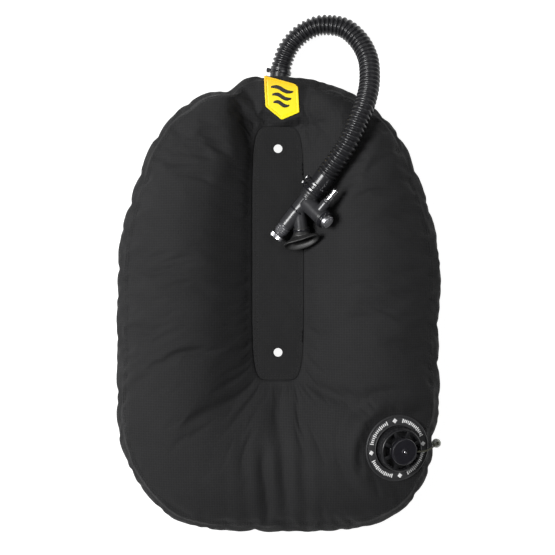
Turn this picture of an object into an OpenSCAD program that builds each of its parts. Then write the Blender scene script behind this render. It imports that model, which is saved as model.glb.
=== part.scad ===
// Back-mounted buoyancy wing: a fabric air cell with corrugated hose, power inflator and dump valve.
// It lies on its tank side. Origin: midway between the two bolt holes, on the diver-side panel face.
// +X towards the diver's left, +Y towards the head, +Z towards the diver. Millimetres.

/* [Air cell] */
// Half width of the cell at its widest
cell_half_w = 220; // [200:1:230]
// Height of the outline above its widest line
cell_top_h = 296; // [286:1:306]
// Height of the outline below its widest line
cell_bottom_h = 325; // [310:1:335]
// Rise of each lobe above its own seam
lobe_rise = 35; // [30:1:40]
// Fabric skin thickness
skin_t = 2; // [1.5:0.5:2.5]

/* [Centre panel] */
// Half width of the centre panel's top strip
panel_half_w = 34; // [32:0.5:34]
// Distance between the two bolt holes
bolt_spacing = 279.4; // [279.4:0.1:279.4]
// Bolt hole radius
bolt_hole_r = 6; // [5:0.5:7]

/* [Hose] */
// Outside radius of the corrugated hose
hose_r = 14.25; // [13.5:0.25:14.25]

/* [Inflator] */
// Outside radius of the inflator's main tube
body_r = 10; // [9:0.5:11]
// Radius of the inflate button
inflate_button_r = 9.5; // [9.5:0.5:9.5]
// Radius of the exhale button
exhale_button_r = 10.2; // [9.8:0.2:10.6]

/* [Dump valve] */
// Radius of the printed ring round the dump valve
ring_r = 45; // [42:1:46]
// Radius of the dump valve housing
housing_r = 29.5; // [28.5:0.5:30]
// Radius of the pull knob
knob_r = 18; // [16:1:20]

/* [Hidden] */

e = 0.01;
table_z = -45;

// --- air cell surfaces ---
columns_q = 15;
columns = 4 * columns_q;
outline_y = -60;
seam_inset = 9;
inner_y = -4;
inner_h = 173;
inner_w = 34.5;
top_seam_z = 12;
low_seam_z = -24;
panel_under_z = -2;
back_under_z = -6;

function sgn_pow(v, p) = sign(v) * pow(abs(v), p);
function ease(w) = w - 0.13 * sin(360 * w);
function column_angle(i) = 90 * (floor(i / columns_q) + ease((i % columns_q) / columns_q));
function expo(a) = sin(a) >= 0 ? 2 / 2.4 : 2 / 4;
function rise_share(a) = sgn_pow(sin(a), expo(a));
function outer_pt(a, inset) = [
  (cell_half_w - inset) * sgn_pow(cos(a), expo(a)),
  outline_y + ((sin(a) >= 0 ? cell_top_h : cell_bottom_h) - inset) * rise_share(a)
];
function inner_pt(a) = [
  inner_w * sign(round(cos(a) * 1000)) * pow(max(0, 1 - pow(abs(rise_share(a)), 6)), 1 / 6),
  inner_y + inner_h * rise_share(a)
];
function mix(a, b, s) = a * (1 - s) + b * s;
function plan_pt(a, s) = mix(outer_pt(a, seam_inset), inner_pt(a), s);
function smooth(v, a, b) = let (q = min(1, max(0, (v - a) / (b - a)))) q * q * (3 - 2 * q);
function top_pinch(p) = exp(-pow(p[0] / 60, 4)) * smooth(p[1], 120, 175);
function bottom_dip(p) = exp(-pow(p[0] / 60, 2)) * smooth(-p[1], 120, 200);
function crease(p) = exp(-pow(p[0] / 16, 2)) * smooth(p[1], -290, -180) * smooth(-p[1], 120, 170);
function bump(s) = pow(max(0, sin(180 * pow(s, 0.9))), 0.75);

// dump valve place: centre on the lobe, tilted outwards
dump_c = [159.4, -265.5, 37];
dump_tilt = 18;
dump_lean = 5;
dump_n = [sin(dump_tilt), -sin(dump_lean) * cos(dump_tilt), cos(dump_lean) * cos(dump_tilt)];
function dump_plane(p) = dump_c[2]
  - ((p[0] - dump_c[0]) * dump_n[0] + (p[1] - dump_c[1]) * dump_n[1]) / dump_n[2];
function near_dump(p) = 1 - smooth(norm([p[0] - dump_c[0], p[1] - dump_c[1]]), 53, 82);

// elbow place: under the top centre
elbow_c = [-6, 196];
elbow_z = -27.5;
function near_elbow(p) = 1 - smooth(norm([p[0] - elbow_c[0], p[1] - elbow_c[1]]), 36, 62);

// the hose and the inflator press a shallow trough into the lobe
function beside(p, a, b) = let (d = b - a, t = min(1, max(0, (p - a) * d / (d * d)))) norm(p - a - t * d);
function under_hose(p) = 1 - smooth(beside(p, [122, 232], [40, 70]), 14, 56);

function front_z0(p, s) = mix(top_seam_z + 2 * top_pinch(p), panel_under_z, s)
  + (lobe_rise - (lobe_rise - 5) * top_pinch(p) - 8 * bottom_dip(p)) * bump(s)
  - (14 * crease(p) + 9 * under_hose(p)) * bump(s);
function front_z(p, s) = mix(front_z0(p, s), dump_plane(p) - 0.8, near_dump(p) * smooth(s, 0, 0.12));
function back_seam(p) = low_seam_z + 19 * top_pinch(p);
function back_z(p, s) = max(table_z,
  mix(back_seam(p), back_under_z, s) - 34 * (1 - top_pinch(p)) * pow(bump(s), 0.8));

// Skin between two height functions over the plan, side 0 = front, 1 = back
function skin_z(p, s, side, lift) = (side == 0 ? front_z(p, s) : back_z(p, s)) + lift;
function extra_lift(p, side, extra) = extra * (side == 0 ? -near_dump(p) : near_elbow(p));

module skin(rows, side, top_lift, low_lift, extra) {
  nr = len(rows);
  n = columns;
  top = [for (s = rows, i = [0:n - 1]) let (p = plan_pt(column_angle(i), s))
    [p[0], p[1], skin_z(p, s, side, top_lift) + extra_lift(p, side, extra)]];
  low = [for (s = rows, i = [0:n - 1]) let (p = plan_pt(column_angle(i), s))
    [p[0], p[1], skin_z(p, s, side, low_lift) + extra_lift(p, side, extra)]];
  m = nr * n;
  tri_up = [for (r = [0:nr - 2], i = [0:n - 1]) let (a = r * n + i, b = r * n + (i + 1) % n)
    each [[a, a + n, b], [b, a + n, b + n]]];
  tri_low = [for (t = tri_up) [t[0] + m, t[2] + m, t[1] + m]];
  rim = [for (i = [0:n - 1]) let (j = (i + 1) % n) each [[i, j, j + m], [i, j + m, i + m]]];
  k = (nr - 1) * n;
  hub = [for (i = [0:n - 1]) let (a = k + i, b = k + (i + 1) % n) each [[a, b + m, b], [a, a + m, b + m]]];
  polyhedron(points = concat(top, low), faces = concat(tri_up, tri_low, rim, hub), convexity = 6);
}

shell_rows = [0, 0.06, 0.16, 0.3, 0.46, 0.62, 0.78, 0.91, 1];
back_rows = [0, 0.08, 0.22, 0.42, 0.66, 0.86, 1];
front_sheet_rows = [0.06, 0.16, 0.3, 0.46, 0.62, 0.78];
back_sheet_rows = [0.08, 0.22, 0.42, 0.66, 0.86];

module bolt_holes(r) {
  for (y = [-1, 1]) translate([0, y * bolt_spacing / 2, -20]) cylinder(r = r, h = 40, $fn = 48);
}
module at_dump() {
  translate(dump_c) rotate([dump_lean, 0, 0]) rotate([0, dump_tilt, 0]) children();
}
module ring(r_out, r_in, z0, z1) {
  difference() {
    translate([0, 0, z0]) cylinder(r = r_out, h = z1 - z0, $fn = 64);
    translate([0, 0, z0 - 1]) cylinder(r = r_in, h = z1 - z0 + 2, $fn = 64);
  }
}

module front_shell() {
  color("dimgray") difference() {
    skin(shell_rows, 0, 0, -skin_t, 0);
    at_dump() translate([0, 0, -14]) cylinder(r = 24.3, h = 28, $fn = 12);
  }
}
module back_shell() {
  color("slategray") difference() {
    skin(back_rows, 1, skin_t, 0, 0);
    translate([elbow_c[0], elbow_c[1], -20]) cylinder(r = 16, h = 30, $fn = 12);
  }
}
module bladder_front_sheet() {
  color("orange") difference() {
    skin(front_sheet_rows, 0, -skin_t - 0.6, -skin_t - 1.6, 4.6);
    at_dump() translate([0, 0, -20]) cylinder(r = 17, h = 30, $fn = 12);
  }
}
module bladder_back_sheet() {
  color("darkorange") difference() {
    skin(back_sheet_rows, 1, skin_t + 1.6, skin_t + 0.6, 3.3);
    translate([elbow_c[0], elbow_c[1], -20]) cylinder(r = 10, h = 30, $fn = 12);
  }
}

// Band between the two seams, bulging out to the widest line
module edge_gusset() {
  rows = [0, 0.2, 0.5, 0.8, 1];
  nr = len(rows);
  n = columns;
  m = nr * n;
  function gusset_pt(i, u, t) = let (
      a = column_angle(i),
      q = outer_pt(a, seam_inset * (1 - sin(180 * u)) + t),
      p = outer_pt(a, seam_inset),
      z_up = top_seam_z + 2 * top_pinch(p) - skin_t - 0.5,
      z_low = back_seam(p) + skin_t + 0.5
    ) [q[0], q[1], mix(z_up, z_low, u)];
  outside = [for (u = rows, i = [0:n - 1]) gusset_pt(i, u, 0)];
  inside = [for (u = rows, i = [0:n - 1]) gusset_pt(i, u, skin_t)];
  tri_out = [for (r = [0:nr - 2], i = [0:n - 1]) let (a = r * n + i, b = r * n + (i + 1) % n)
    each [[a, b, a + n], [b, b + n, a + n]]];
  tri_in = [for (t = tri_out) [t[0] + m, t[2] + m, t[1] + m]];
  k = (nr - 1) * n;
  edge_up = [for (i = [0:n - 1]) let (j = (i + 1) % n) each [[i, j + m, j], [i, i + m, j + m]]];
  edge_low = [for (i = [0:n - 1]) let (a = k + i, b = k + (i + 1) % n) each [[a, b, b + m], [a, b + m, a + m]]];
  color("gray") polyhedron(points = concat(outside, inside),
    faces = concat(tri_out, tri_in, edge_up, edge_low), convexity = 6);
}

// Doubled strip on top, and the sewn layers under it that fill the gap between the skins
module centre_panel() {
  n = 48;
  color("black") difference() {
    union() {
      translate([0, 0, -2]) linear_extrude(height = 2)
        polygon([for (i = [0:n - 1]) let (p = inner_pt(i * 360 / n))
          [p[0] * panel_half_w / inner_w, inner_y + (p[1] - inner_y) * 0.985]]);
      translate([0, 0, back_under_z]) linear_extrude(height = 4 + e)
        polygon([for (i = [0:columns - 1]) let (p = inner_pt(column_angle(i)))
          [p[0] * 0.994, inner_y + (p[1] - inner_y) * 0.998]]);
    }
    bolt_holes(bolt_hole_r);
  }
}

// --- name patch at the top ---
patch_pts = [[-19, 236], [22, 225], [27, 221], [29, 187], [5, 177], [-17, 195]];
module patch_frame() {
  translate([0, 177, 13.5]) rotate([8.5, 0, 0]) translate([0, -177, 0]) children();
}
module name_patch() {
  color("gold") patch_frame() linear_extrude(height = 1.6) polygon(patch_pts);
}
module patch_mark() {
  color("black") patch_frame() translate([0, 0, 1.6]) {
    for (k = [0:2]) translate([6 - k * 1.2, 216 - 9 * k, 0]) rotate(-12)
      translate([-13 + 2 * k, -2, 0]) cube([26 - 4 * k, 4, 0.4]);
  }
}

// --- zip along the tank side of the centre panel ---
zip_x = -26;
zip_y0 = -150;
zip_y1 = 150;
zip_pitch = 5;
module zip_tape() {
  color("black") translate([zip_x - 6, zip_y0, back_under_z - 0.8]) cube([12, zip_y1 - zip_y0, 0.8]);
}
module zip_teeth() {
  z0 = back_under_z - 0.8;
  nt = floor((zip_y1 - zip_y0 - 16) / zip_pitch);
  left = [for (i = [0:nt - 1]) let (y = zip_y0 + 8 + i * zip_pitch)
    each [[-2.6, y], [-2.6, y + 2.5], [-1.8, y + 2.5], [-1.8, y + zip_pitch]]];
  right = [for (i = [nt - 1:-1:0]) let (y = zip_y0 + 8 + i * zip_pitch)
    each [[1.8, y + zip_pitch], [1.8, y + 2.5], [2.6, y + 2.5], [2.6, y]]];
  color("dimgray") translate([zip_x, 0, z0 - 1.8]) linear_extrude(height = 1.8) polygon(concat(left, right));
}
module zip_stops() {
  color("silver") for (y = [zip_y0 + 3, zip_y1 - 6])
    translate([zip_x - 3.5, y, back_under_z - 2.8]) cube([7, 3, 2]);
}
slider_y = 137.5;
slider_z = back_under_z - 0.8 - 1.8 - 0.35;
module zip_slider() {
  color("silver") translate([zip_x, slider_y, slider_z]) difference() {
    union() {
      translate([-5, -6, -1.6]) cube([10, 12, 1.6]);
      for (x = [-5, 3.2]) translate([x, -6, -e]) cube([1.8, 12, 1.6]);
      for (x = [-2.4, 1.2]) translate([x, -2.5, -4.6]) cube([1.2, 5, 3.1]);
    }
    translate([-6, 0, -3.2]) rotate([0, 90, 0]) cylinder(r = 0.85, h = 12, $fn = 32);
  }
}
pull_z = slider_z - 3.2;
module zip_pull() {
  color("dimgray") translate([zip_x, slider_y, pull_z]) {
    translate([-4.2, 0, 0]) rotate([0, 90, 0]) cylinder(r = 0.8, h = 8.4, $fn = 32);
    for (x = [-4.2, 2.9]) translate([x, -0.7, -6]) cube([1.3, 1.4, 6]);
    difference() {
      translate([-4.2, -0.7, -27]) cube([8.4, 1.4, 22]);
      translate([0, -2, -23]) rotate([-90, 0, 0]) cylinder(r = 2, h = 4, $fn = 32);
    }
  }
}

// --- hose elbow ---
elbow_lean = 10;
module at_elbow() {
  translate([elbow_c[0], elbow_c[1], 0]) children();
}
module along_barb() {
  at_elbow() translate([0, 0, elbow_z]) rotate([0, 0, -elbow_lean]) rotate([-90, 0, 0]) children();
}
module elbow_flange() {
  color("black") at_elbow() difference() {
    union() {
      translate([0, 0, -3.1]) cylinder(r = 20.5, h = 1.4, $fn = 64);
      translate([0, 0, -11]) cylinder(r = 15, h = 9, $fn = 64);
    }
    translate([0, 0, -12]) cylinder(r = 12, h = 14, $fn = 64);
  }
}
module elbow_gasket() {
  color("red") at_elbow() ring(14.9, 12, -12, -11);
}
module elbow_ring() {
  color("dimgray") at_elbow() {
    difference() {
      translate([0, 0, -16]) cylinder(r = 20, h = 8.5, $fn = 64);
      translate([0, 0, -14]) cylinder(r = 15, h = 9, $fn = 64);
      translate([0, 0, -17]) cylinder(r = 12.3, h = 9, $fn = 64);
      for (a = [0:30:330]) rotate(a) translate([20.6, 0, -18]) cylinder(r = 1.4, h = 12, $fn = 24);
    }
  }
}
module elbow() {
  color("black") difference() {
    union() {
      at_elbow() translate([0, 0, -14]) cylinder(r = 15, h = 2, $fn = 64);
      at_elbow() translate([0, 0, elbow_z]) cylinder(r = 12, h = -12 - elbow_z, $fn = 64);
      at_elbow() translate([0, 0, elbow_z]) sphere(r = 12, $fn = 64);
      along_barb() cylinder(r = 11, h = 57, $fn = 64);
      for (d = [29, 38, 47]) along_barb() translate([0, 0, d]) cylinder(r = 11.5, h = 3, $fn = 64);
    }
    at_elbow() translate([0, 0, elbow_z]) cylinder(r = 9, h = 20, $fn = 64);
    at_elbow() translate([0, 0, elbow_z]) sphere(r = 9, $fn = 64);
    along_barb() cylinder(r = 8.5, h = 60, $fn = 64);
  }
}
module tie(d) {
  translate([0, 0, d]) {
    ring(15.5, 14.3, -2.2, 2.2);
    difference() {
      translate([-19.3, -3.2, -3]) cube([5.5, 6.4, 6]);
      translate([0, 0, -4]) cylinder(r = 14.9, h = 8, $fn = 64);
    }
  }
}
module elbow_ties() {
  color("black") along_barb() {
    tie(42);
    tie(53);
  }
}

// --- corrugated hose ---
hose_route = [
  [-2.2, 217.7, -27.5], [1, 235.5, -27.5], [4.5, 255.5, -27.5], [14, 281, -27], [31, 300, -25],
  [52, 311, -22], [72, 312, -18], [93, 306, -12], [111, 288, -4], [121, 267, 6], [124, 248, 16],
  [123, 223, 28], [118, 201, 38], [110, 180, 46], [91, 139, 50], [62, 97.4, 37], [46, 77.7, 31.1]
];
function route_pt(pts, u) = let (
    n = len(pts), i = min(n - 2, floor(u)), f = u - i,
    p1 = pts[i], p2 = pts[i + 1],
    p0 = i > 0 ? pts[i - 1] : 2 * p1 - p2,
    p3 = i < n - 2 ? pts[i + 2] : 2 * p2 - p1
  ) 0.5 * (2 * p1 + (p2 - p0) * f + (2 * p0 - 5 * p1 + 4 * p2 - p3) * f * f
    + (3 * p1 - p0 - 3 * p2 + p3) * f * f * f);
function unit(v) = v / norm(v);
module swept_tube(pts, r, sides, per_span, start_dir, end_dir) {
  n = (len(pts) - 1) * per_span;
  path = [for (i = [0:n]) route_pt(pts, i / per_span)];
  rings = [for (i = [0:n]) let (
      d = i == 0 ? start_dir : i == n ? end_dir : unit(path[i + 1] - path[i - 1]),
      u = unit(cross([0.05, 0.08, 1], d)), v = cross(d, u)
    ) each [for (k = [0:sides - 1]) path[i] + r * (u * cos(k * 360 / sides) + v * sin(k * 360 / sides))]];
  walls = [for (i = [0:n - 1], k = [0:sides - 1]) let (
      a = i * sides + k, b = i * sides + (k + 1) % sides)
    each [[a, a + sides, b], [b, a + sides, b + sides]]];
  caps = [[for (k = [0:sides - 1]) k], [for (k = [sides - 1:-1:0]) n * sides + k]];
  polyhedron(points = rings, faces = concat(walls, caps), convexity = 8);
}
infl_az = 231;
infl_pitch = 13;
infl_o = [46, 77.7, 31.1];
infl_dir = [cos(infl_az) * cos(infl_pitch), sin(infl_az) * cos(infl_pitch), -sin(infl_pitch)];
module corrugated_hose() {
  color("dimgray") swept_tube(hose_route, hose_r, 12, 2,
    [sin(elbow_lean), cos(elbow_lean), 0], infl_dir);
}

// --- power inflator: local +X runs down the body, +Z away from the wing ---
module at_inflator() {
  translate(infl_o) rotate([0, infl_pitch, infl_az]) children();
}
module along_x(x, y = 0, z = 0) {
  translate([x, y, z]) rotate([0, 90, 0]) children();
}
block_x = 15.3;
block_rise = 27;
module along_block() {
  translate([block_x, 0, 0]) rotate([block_rise - 90, 0, 0]) children();
}
neck_x = 29;
module along_neck() {
  translate([neck_x, 0, 0]) rotate([0, 0, 45]) along_x(0) children();
}
nip_x = -18;
nip_y = 23.5;
nip_z = 16.5;
module inflator_ties() {
  color("black") at_inflator() rotate([0, -90, 0]) rotate(90) {
    tie(3.5);
    tie(12);
  }
}
module inflator_body() {
  color("black") at_inflator() difference() {
    union() {
      along_x(-32) cylinder(r = 11, h = 34, $fn = 64);
      for (x = [-29, -21, -13]) along_x(x) cylinder(r = 11.5, h = 3, $fn = 64);
      along_x(0.2) cylinder(r = 13, h = 4, $fn = 64);
      along_x(4) cylinder(r = 12, h = 7, $fn = 64);
      along_x(10) cylinder(r = body_r, h = 48, $fn = 64);
      along_neck() cylinder(r = 9, h = 31, $fn = 64);
      along_block() translate([0, 0, 3]) cylinder(r = 11.5, h = 35, $fn = 64);
      along_x(nip_x + 14, nip_y, nip_z) cylinder(r = 6.4, h = 19, $fn = 64);
    }
    along_x(-33) cylinder(r = 8.5, h = 34, $fn = 64);
    along_x(-1) cylinder(r = 7.5, h = 56, $fn = 64);
    along_x(52) cylinder(r = 4.5, h = 8, $fn = 64);
    along_neck() cylinder(r = 6.5, h = 40, $fn = 64);
    along_block() translate([0, 0, 11]) cylinder(r = 4.5, h = 11, $fn = 64);
    along_block() translate([0, 0, 21]) cylinder(r = 1.58, h = 8, $fn = 64);
    along_block() translate([0, 0, 26]) cylinder(r = 9.8, h = 14, $fn = 64);
    along_block() translate([0, 0, 5]) cylinder(r = 2, h = 8, $fn = 64);
    along_x(nip_x + 13, nip_y, nip_z) cylinder(r = 4, h = 9, $fn = 64);
    along_x(nip_x + 20, nip_y, nip_z) cylinder(r = 2, h = 12, $fn = 48);
  }
}
module inflator_seal() {
  color("dimgray") at_inflator() difference() {
    along_x(31) ring(10.9, body_r, 0, 1.8);
    along_neck() translate([0, 0, -1]) cylinder(r = 9.05, h = 40, $fn = 64);
    along_block() translate([0, 0, -8]) cylinder(r = 11.55, h = 48, $fn = 64);
  }
}
mouth_tilt = 38;
mouth_skew = -0.2;
module mouthpiece() {
  sides = 24;
  // [distance, half length, half height] of each section
  outer = [[25.2, 10.6, 10.6], [32, 11, 10.6], [40, 16, 9.5], [46, 21.5, 10.5],
    [49, 24.5, 12.5], [50.5, 24.5, 12.5]];
  inner = [[25.2, 9.12, 9.12], [32, 9.12, 9.12], [40, 13, 6.5], [46, 18.5, 7.2],
    [49, 21, 8.8], [50.5, 22, 10]];
  function section(q) = let (f = smooth(q[0], 32, 46), w = 2 / (2 + 0.6 * f))
    [for (k = [0:sides - 1]) let (a = k * 360 / sides,
        y = q[1] * sgn_pow(cos(a), w), z = q[2] * sgn_pow(sin(a), w), x = q[0] - 34, t = mouth_tilt * f)
      [34 + x * cos(t) - z * sin(t) + (mouth_skew * y - 0.006 * y * y) * f, y, z * cos(t) + x * sin(t)]];
  pts = concat([for (q = outer) each section(q)], [for (q = inner) each section(q)]);
  n = len(outer);
  m = n * sides;
  wall_out = [for (i = [0:n - 2], k = [0:sides - 1]) let (a = i * sides + k, b = i * sides + (k + 1) % sides)
    each [[a, b, a + sides], [b, b + sides, a + sides]]];
  wall_in = [for (t = wall_out) [t[0] + m, t[2] + m, t[1] + m]];
  lip0 = [for (k = [0:sides - 1]) let (j = (k + 1) % sides) each [[k, j + m, j], [k, k + m, j + m]]];
  c = (n - 1) * sides;
  lip1 = [for (k = [0:sides - 1]) let (a = c + k, b = c + (k + 1) % sides)
    each [[a, b, b + m], [a, b + m, a + m]]];
  color("dimgray") at_inflator() translate([neck_x, 0, 0]) rotate([0, 0, 45])
    polyhedron(points = pts, convexity = 6,
      faces = [for (t = concat(wall_out, wall_in, lip0, lip1)) [t[0], t[2], t[1]]]);
}
module at_exhale() {
  at_inflator() translate([-8, 0, 0]) children();
}
module exhale_collar() {
  color("gray") at_exhale() difference() {
    union() {
      along_x(66) cylinder(r = 8.2, h = 3, $fn = 64);
      along_x(68) cylinder(r = 9.2, h = 9.5, $fn = 64);
      along_x(77) cylinder(r = 7.6, h = 5.6, $fn = 64);
    }
    along_x(77.5) cylinder(r = 6.4, h = 6, $fn = 64);
    along_x(65) cylinder(r = 1.58, h = 14, $fn = 64);
    for (a = [0:30:330]) along_x(69.5) rotate(a) translate([9.6, 0, 0]) cylinder(r = 0.9, h = 6.5, $fn = 24);
  }
}
module exhale_button() {
  color("silver") at_exhale() difference() {
    along_x(81.5) cylinder(r = exhale_button_r, h = 6.8, $fn = 64);
    along_x(80) cylinder(r = 7.9, h = 6.8, $fn = 64);
    for (a = [0:18:342]) along_x(82.4) rotate(a) translate([exhale_button_r + 0.5, 0, 0])
      cylinder(r = 0.9, h = 4.6, $fn = 24);
  }
}
module exhale_stem() {
  color("silver") at_exhale() {
    along_x(60) cylinder(r = 1.5, h = 26.8, $fn = 48);
    along_x(61) cylinder(r = 6, h = 1.9, $fn = 48);
  }
}
module coil(r, wire, z0, z1, turns) {
  sides = 6;
  n = turns * 12;
  pts = [for (i = [0:n]) let (a = i * 30, z = mix(z0 + wire, z1 - wire, i / n))
    each [for (k = [0:sides - 1]) let (q = k * 360 / sides, rr = r + wire * cos(q))
      [rr * cos(a), rr * sin(a), z + wire * sin(q)]]];
  walls = [for (i = [0:n - 1], k = [0:sides - 1]) let (a = i * sides + k, b = i * sides + (k + 1) % sides)
    each [[a, b, a + sides], [b, b + sides, a + sides]]];
  caps = [[for (k = [sides - 1:-1:0]) k], [for (k = [0:sides - 1]) n * sides + k]];
  polyhedron(points = pts, faces = concat(walls, caps), convexity = 10);
}
module exhale_spring() {
  color("silver") at_exhale() along_x(0) coil(4.8, 0.45, 77.6, 86.7, 4);
}
module inflate_bezel() {
  color("black") at_inflator() along_block() difference() {
    translate([0, 0, 38]) cylinder(r = 12.5, h = 5, $fn = 64);
    translate([0, 0, 37]) cylinder(r = inflate_button_r + 0.08, h = 7, $fn = 64);
  }
}
module inflate_button() {
  color("lightgray") at_inflator() along_block() difference() {
    union() {
      translate([0, 0, 36.5]) cylinder(r = inflate_button_r, h = 12, $fn = 64);
      translate([0, 0, 36.5]) cylinder(r = 9.72, h = 1.3, $fn = 64);
    }
    translate([0, 0, 35.5]) cylinder(r = 8, h = 9, $fn = 64);
    ring(6.4, 5.6, 48, 49);
  }
}
module inflate_stem() {
  color("silver") at_inflator() along_block() {
    translate([0, 0, 17]) cylinder(r = 1.5, h = 27.5, $fn = 48);
    translate([0, 0, 15]) cylinder(r = 3.4, h = 2.5, $fn = 48);
  }
}
module inflate_spring() {
  color("silver") at_inflator() along_block() coil(5.2, 0.5, 26.1, 44.4, 6);
}
module lp_nipple() {
  color("silver") at_inflator() difference() {
    union() {
      along_x(nip_x - 7, nip_y, nip_z) cylinder(r = 4.5, h = 8, $fn = 64);
      along_x(nip_x - 7, nip_y, nip_z) cylinder(r = 3.8, h = 28.8, $fn = 64);
      along_x(nip_x + 4, nip_y, nip_z) cylinder(r = 4.5, h = 6, $fn = 64);
      along_x(nip_x + 10, nip_y, nip_z) cylinder(r = 5.8, h = 3.95, $fn = 6);
      along_x(nip_x + 13.5, nip_y, nip_z) cylinder(r = 4, h = 8, $fn = 64);
    }
    along_x(nip_x - 8, nip_y, nip_z) cylinder(r = 2, h = 40, $fn = 48);
  }
}

// --- dump valve: local +Z points out of the lobe ---
module dump_flange() {
  color("black") at_dump() {
    ring(31, 17, -6.2, -4.6);
    ring(22.95, 20, -4, 6);
    ring(20.5, 17, -4, 4.5);
  }
}
module dump_gasket() {
  color("gray") at_dump() ring(22.8, 17.5, 6, 6.8);
}
module dump_ring() {
  color("dimgray") at_dump() ring(ring_r, 31, 0, 1.5);
}
module dump_marks() {
  color("white") at_dump() for (a = [0:30:330]) rotate(a)
    translate([36, -1.2 - (a % 90 == 0 ? 1.4 : 0), 1.5]) cube([5, 2.4 + (a % 90 == 0 ? 2.8 : 0), 0.25]);
}
module dump_housing() {
  color("black") at_dump() difference() {
    translate([0, 0, 1.8]) cylinder(r = housing_r, h = 10.2, $fn = 96);
    translate([0, 0, 1]) cylinder(r = 23, h = 7, $fn = 96);
    translate([0, 0, 6]) cylinder(r = 26, h = 8, $fn = 96);
    for (a = [0:20:340]) rotate(a) translate([housing_r + 0.9, 0, 3.2]) cylinder(r = 1.9, h = 6.5, $fn = 24);
  }
}
module dump_cap() {
  color("dimgray") at_dump() difference() {
    union() {
      translate([0, 0, 12]) cylinder(r = housing_r - 0.3, h = 3.5, $fn = 96);
      translate([0, 0, 15.5]) cylinder(r1 = housing_r - 0.3, r2 = housing_r - 2.3, h = 2, $fn = 96);
    }
    translate([0, 0, 11]) cylinder(r = 26, h = 4.5, $fn = 96);
    translate([0, 0, 11]) cylinder(r = 2.58, h = 8, $fn = 64);
    for (a = [0:45:315]) rotate(a) translate([17, -4, 15]) cube([7, 8, 4]);
  }
}
module dump_disc() {
  color("silver") at_dump() {
    translate([0, 0, 6.9]) cylinder(r = 19, h = 1.8, $fn = 64);
    translate([0, 0, 8]) cylinder(r = 2.5, h = 14, $fn = 64);
  }
}
module dump_spring() {
  color("silver") at_dump() coil(9, 0.6, 8.8, 15.4, 3);
}
module dump_knob() {
  color("dimgray") at_dump() difference() {
    union() {
      translate([0, 0, 22]) cylinder(r = knob_r, h = 4, $fn = 96);
      translate([0, 0, 26]) cylinder(r1 = knob_r, r2 = knob_r - 1, h = 1, $fn = 96);
      translate([0, 0, 26]) cylinder(r = 3.5, h = 1.8, $fn = 48);
    }
    translate([0, 0, 25]) ring(knob_r - 2.5, 5, 0.8, 3);
    translate([0, 0, 26.6]) cylinder(r = 1.6, h = 3, $fn = 32);
  }
}
cord_route = [
  [184.6, -268, 53.5], [192, -269, 46], [200, -269, 35], [206, -268, 24], [211, -267, 13],
  [215, -266, 5], [217.6, -265, -1.5]
];
module pull_cord() {
  color("olive") swept_tube(cord_route, 1.1, 8, 3, [0.8, -0.1, -0.6], [0.2, 0.1, -1]);
}
module pull_ball() {
  color("white") translate([217.8, -264.8, -8]) sphere(r = 6.5, $fn = 48);
}

front_shell();
back_shell();
edge_gusset();
bladder_front_sheet();
bladder_back_sheet();
centre_panel();
name_patch();
patch_mark();
zip_tape();
zip_teeth();
zip_stops();
zip_slider();
zip_pull();
elbow_flange();
elbow_gasket();
elbow_ring();
elbow();
elbow_ties();
corrugated_hose();
inflator_ties();
inflator_body();
inflator_seal();
mouthpiece();
exhale_collar();
exhale_button();
exhale_stem();
exhale_spring();
inflate_bezel();
inflate_button();
inflate_stem();
inflate_spring();
lp_nipple();
dump_flange();
dump_gasket();
dump_ring();
dump_marks();
dump_housing();
dump_cap();
dump_disc();
dump_spring();
dump_knob();
pull_cord();
pull_ball();
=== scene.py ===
import math

import bmesh
import bpy
import numpy as np
from mathutils import Matrix, Vector
from mathutils.bvhtree import BVHTree
from mathutils.geometry import delaunay_2d_cdt


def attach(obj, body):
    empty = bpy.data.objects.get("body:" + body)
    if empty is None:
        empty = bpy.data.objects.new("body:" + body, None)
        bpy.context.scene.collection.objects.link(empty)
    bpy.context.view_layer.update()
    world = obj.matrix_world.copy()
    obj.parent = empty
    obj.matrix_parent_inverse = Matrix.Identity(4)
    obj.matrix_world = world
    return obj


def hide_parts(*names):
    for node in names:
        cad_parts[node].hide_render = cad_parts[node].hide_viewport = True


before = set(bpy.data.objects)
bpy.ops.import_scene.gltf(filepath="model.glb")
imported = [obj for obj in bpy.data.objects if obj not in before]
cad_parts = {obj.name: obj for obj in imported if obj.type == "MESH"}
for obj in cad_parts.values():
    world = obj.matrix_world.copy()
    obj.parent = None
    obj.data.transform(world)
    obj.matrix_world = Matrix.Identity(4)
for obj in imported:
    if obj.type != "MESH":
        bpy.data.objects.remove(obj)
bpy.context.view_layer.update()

scene = bpy.context.scene
MM = 0.001
TABLE = -45.0

# ---------------------------------------------------------------- camera
VIEW_WIDTH = 0.7598
VIEW_DISTANCE = 1.75
cam_data = bpy.data.cameras.new("camera")
cam = bpy.data.objects.new("camera", cam_data)
scene.collection.objects.link(cam)
cam.location = (-0.0007, -0.037, VIEW_DISTANCE)
cam_data.sensor_width = 36
cam_data.lens = 36 * VIEW_DISTANCE / VIEW_WIDTH
scene.camera = cam


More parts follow.
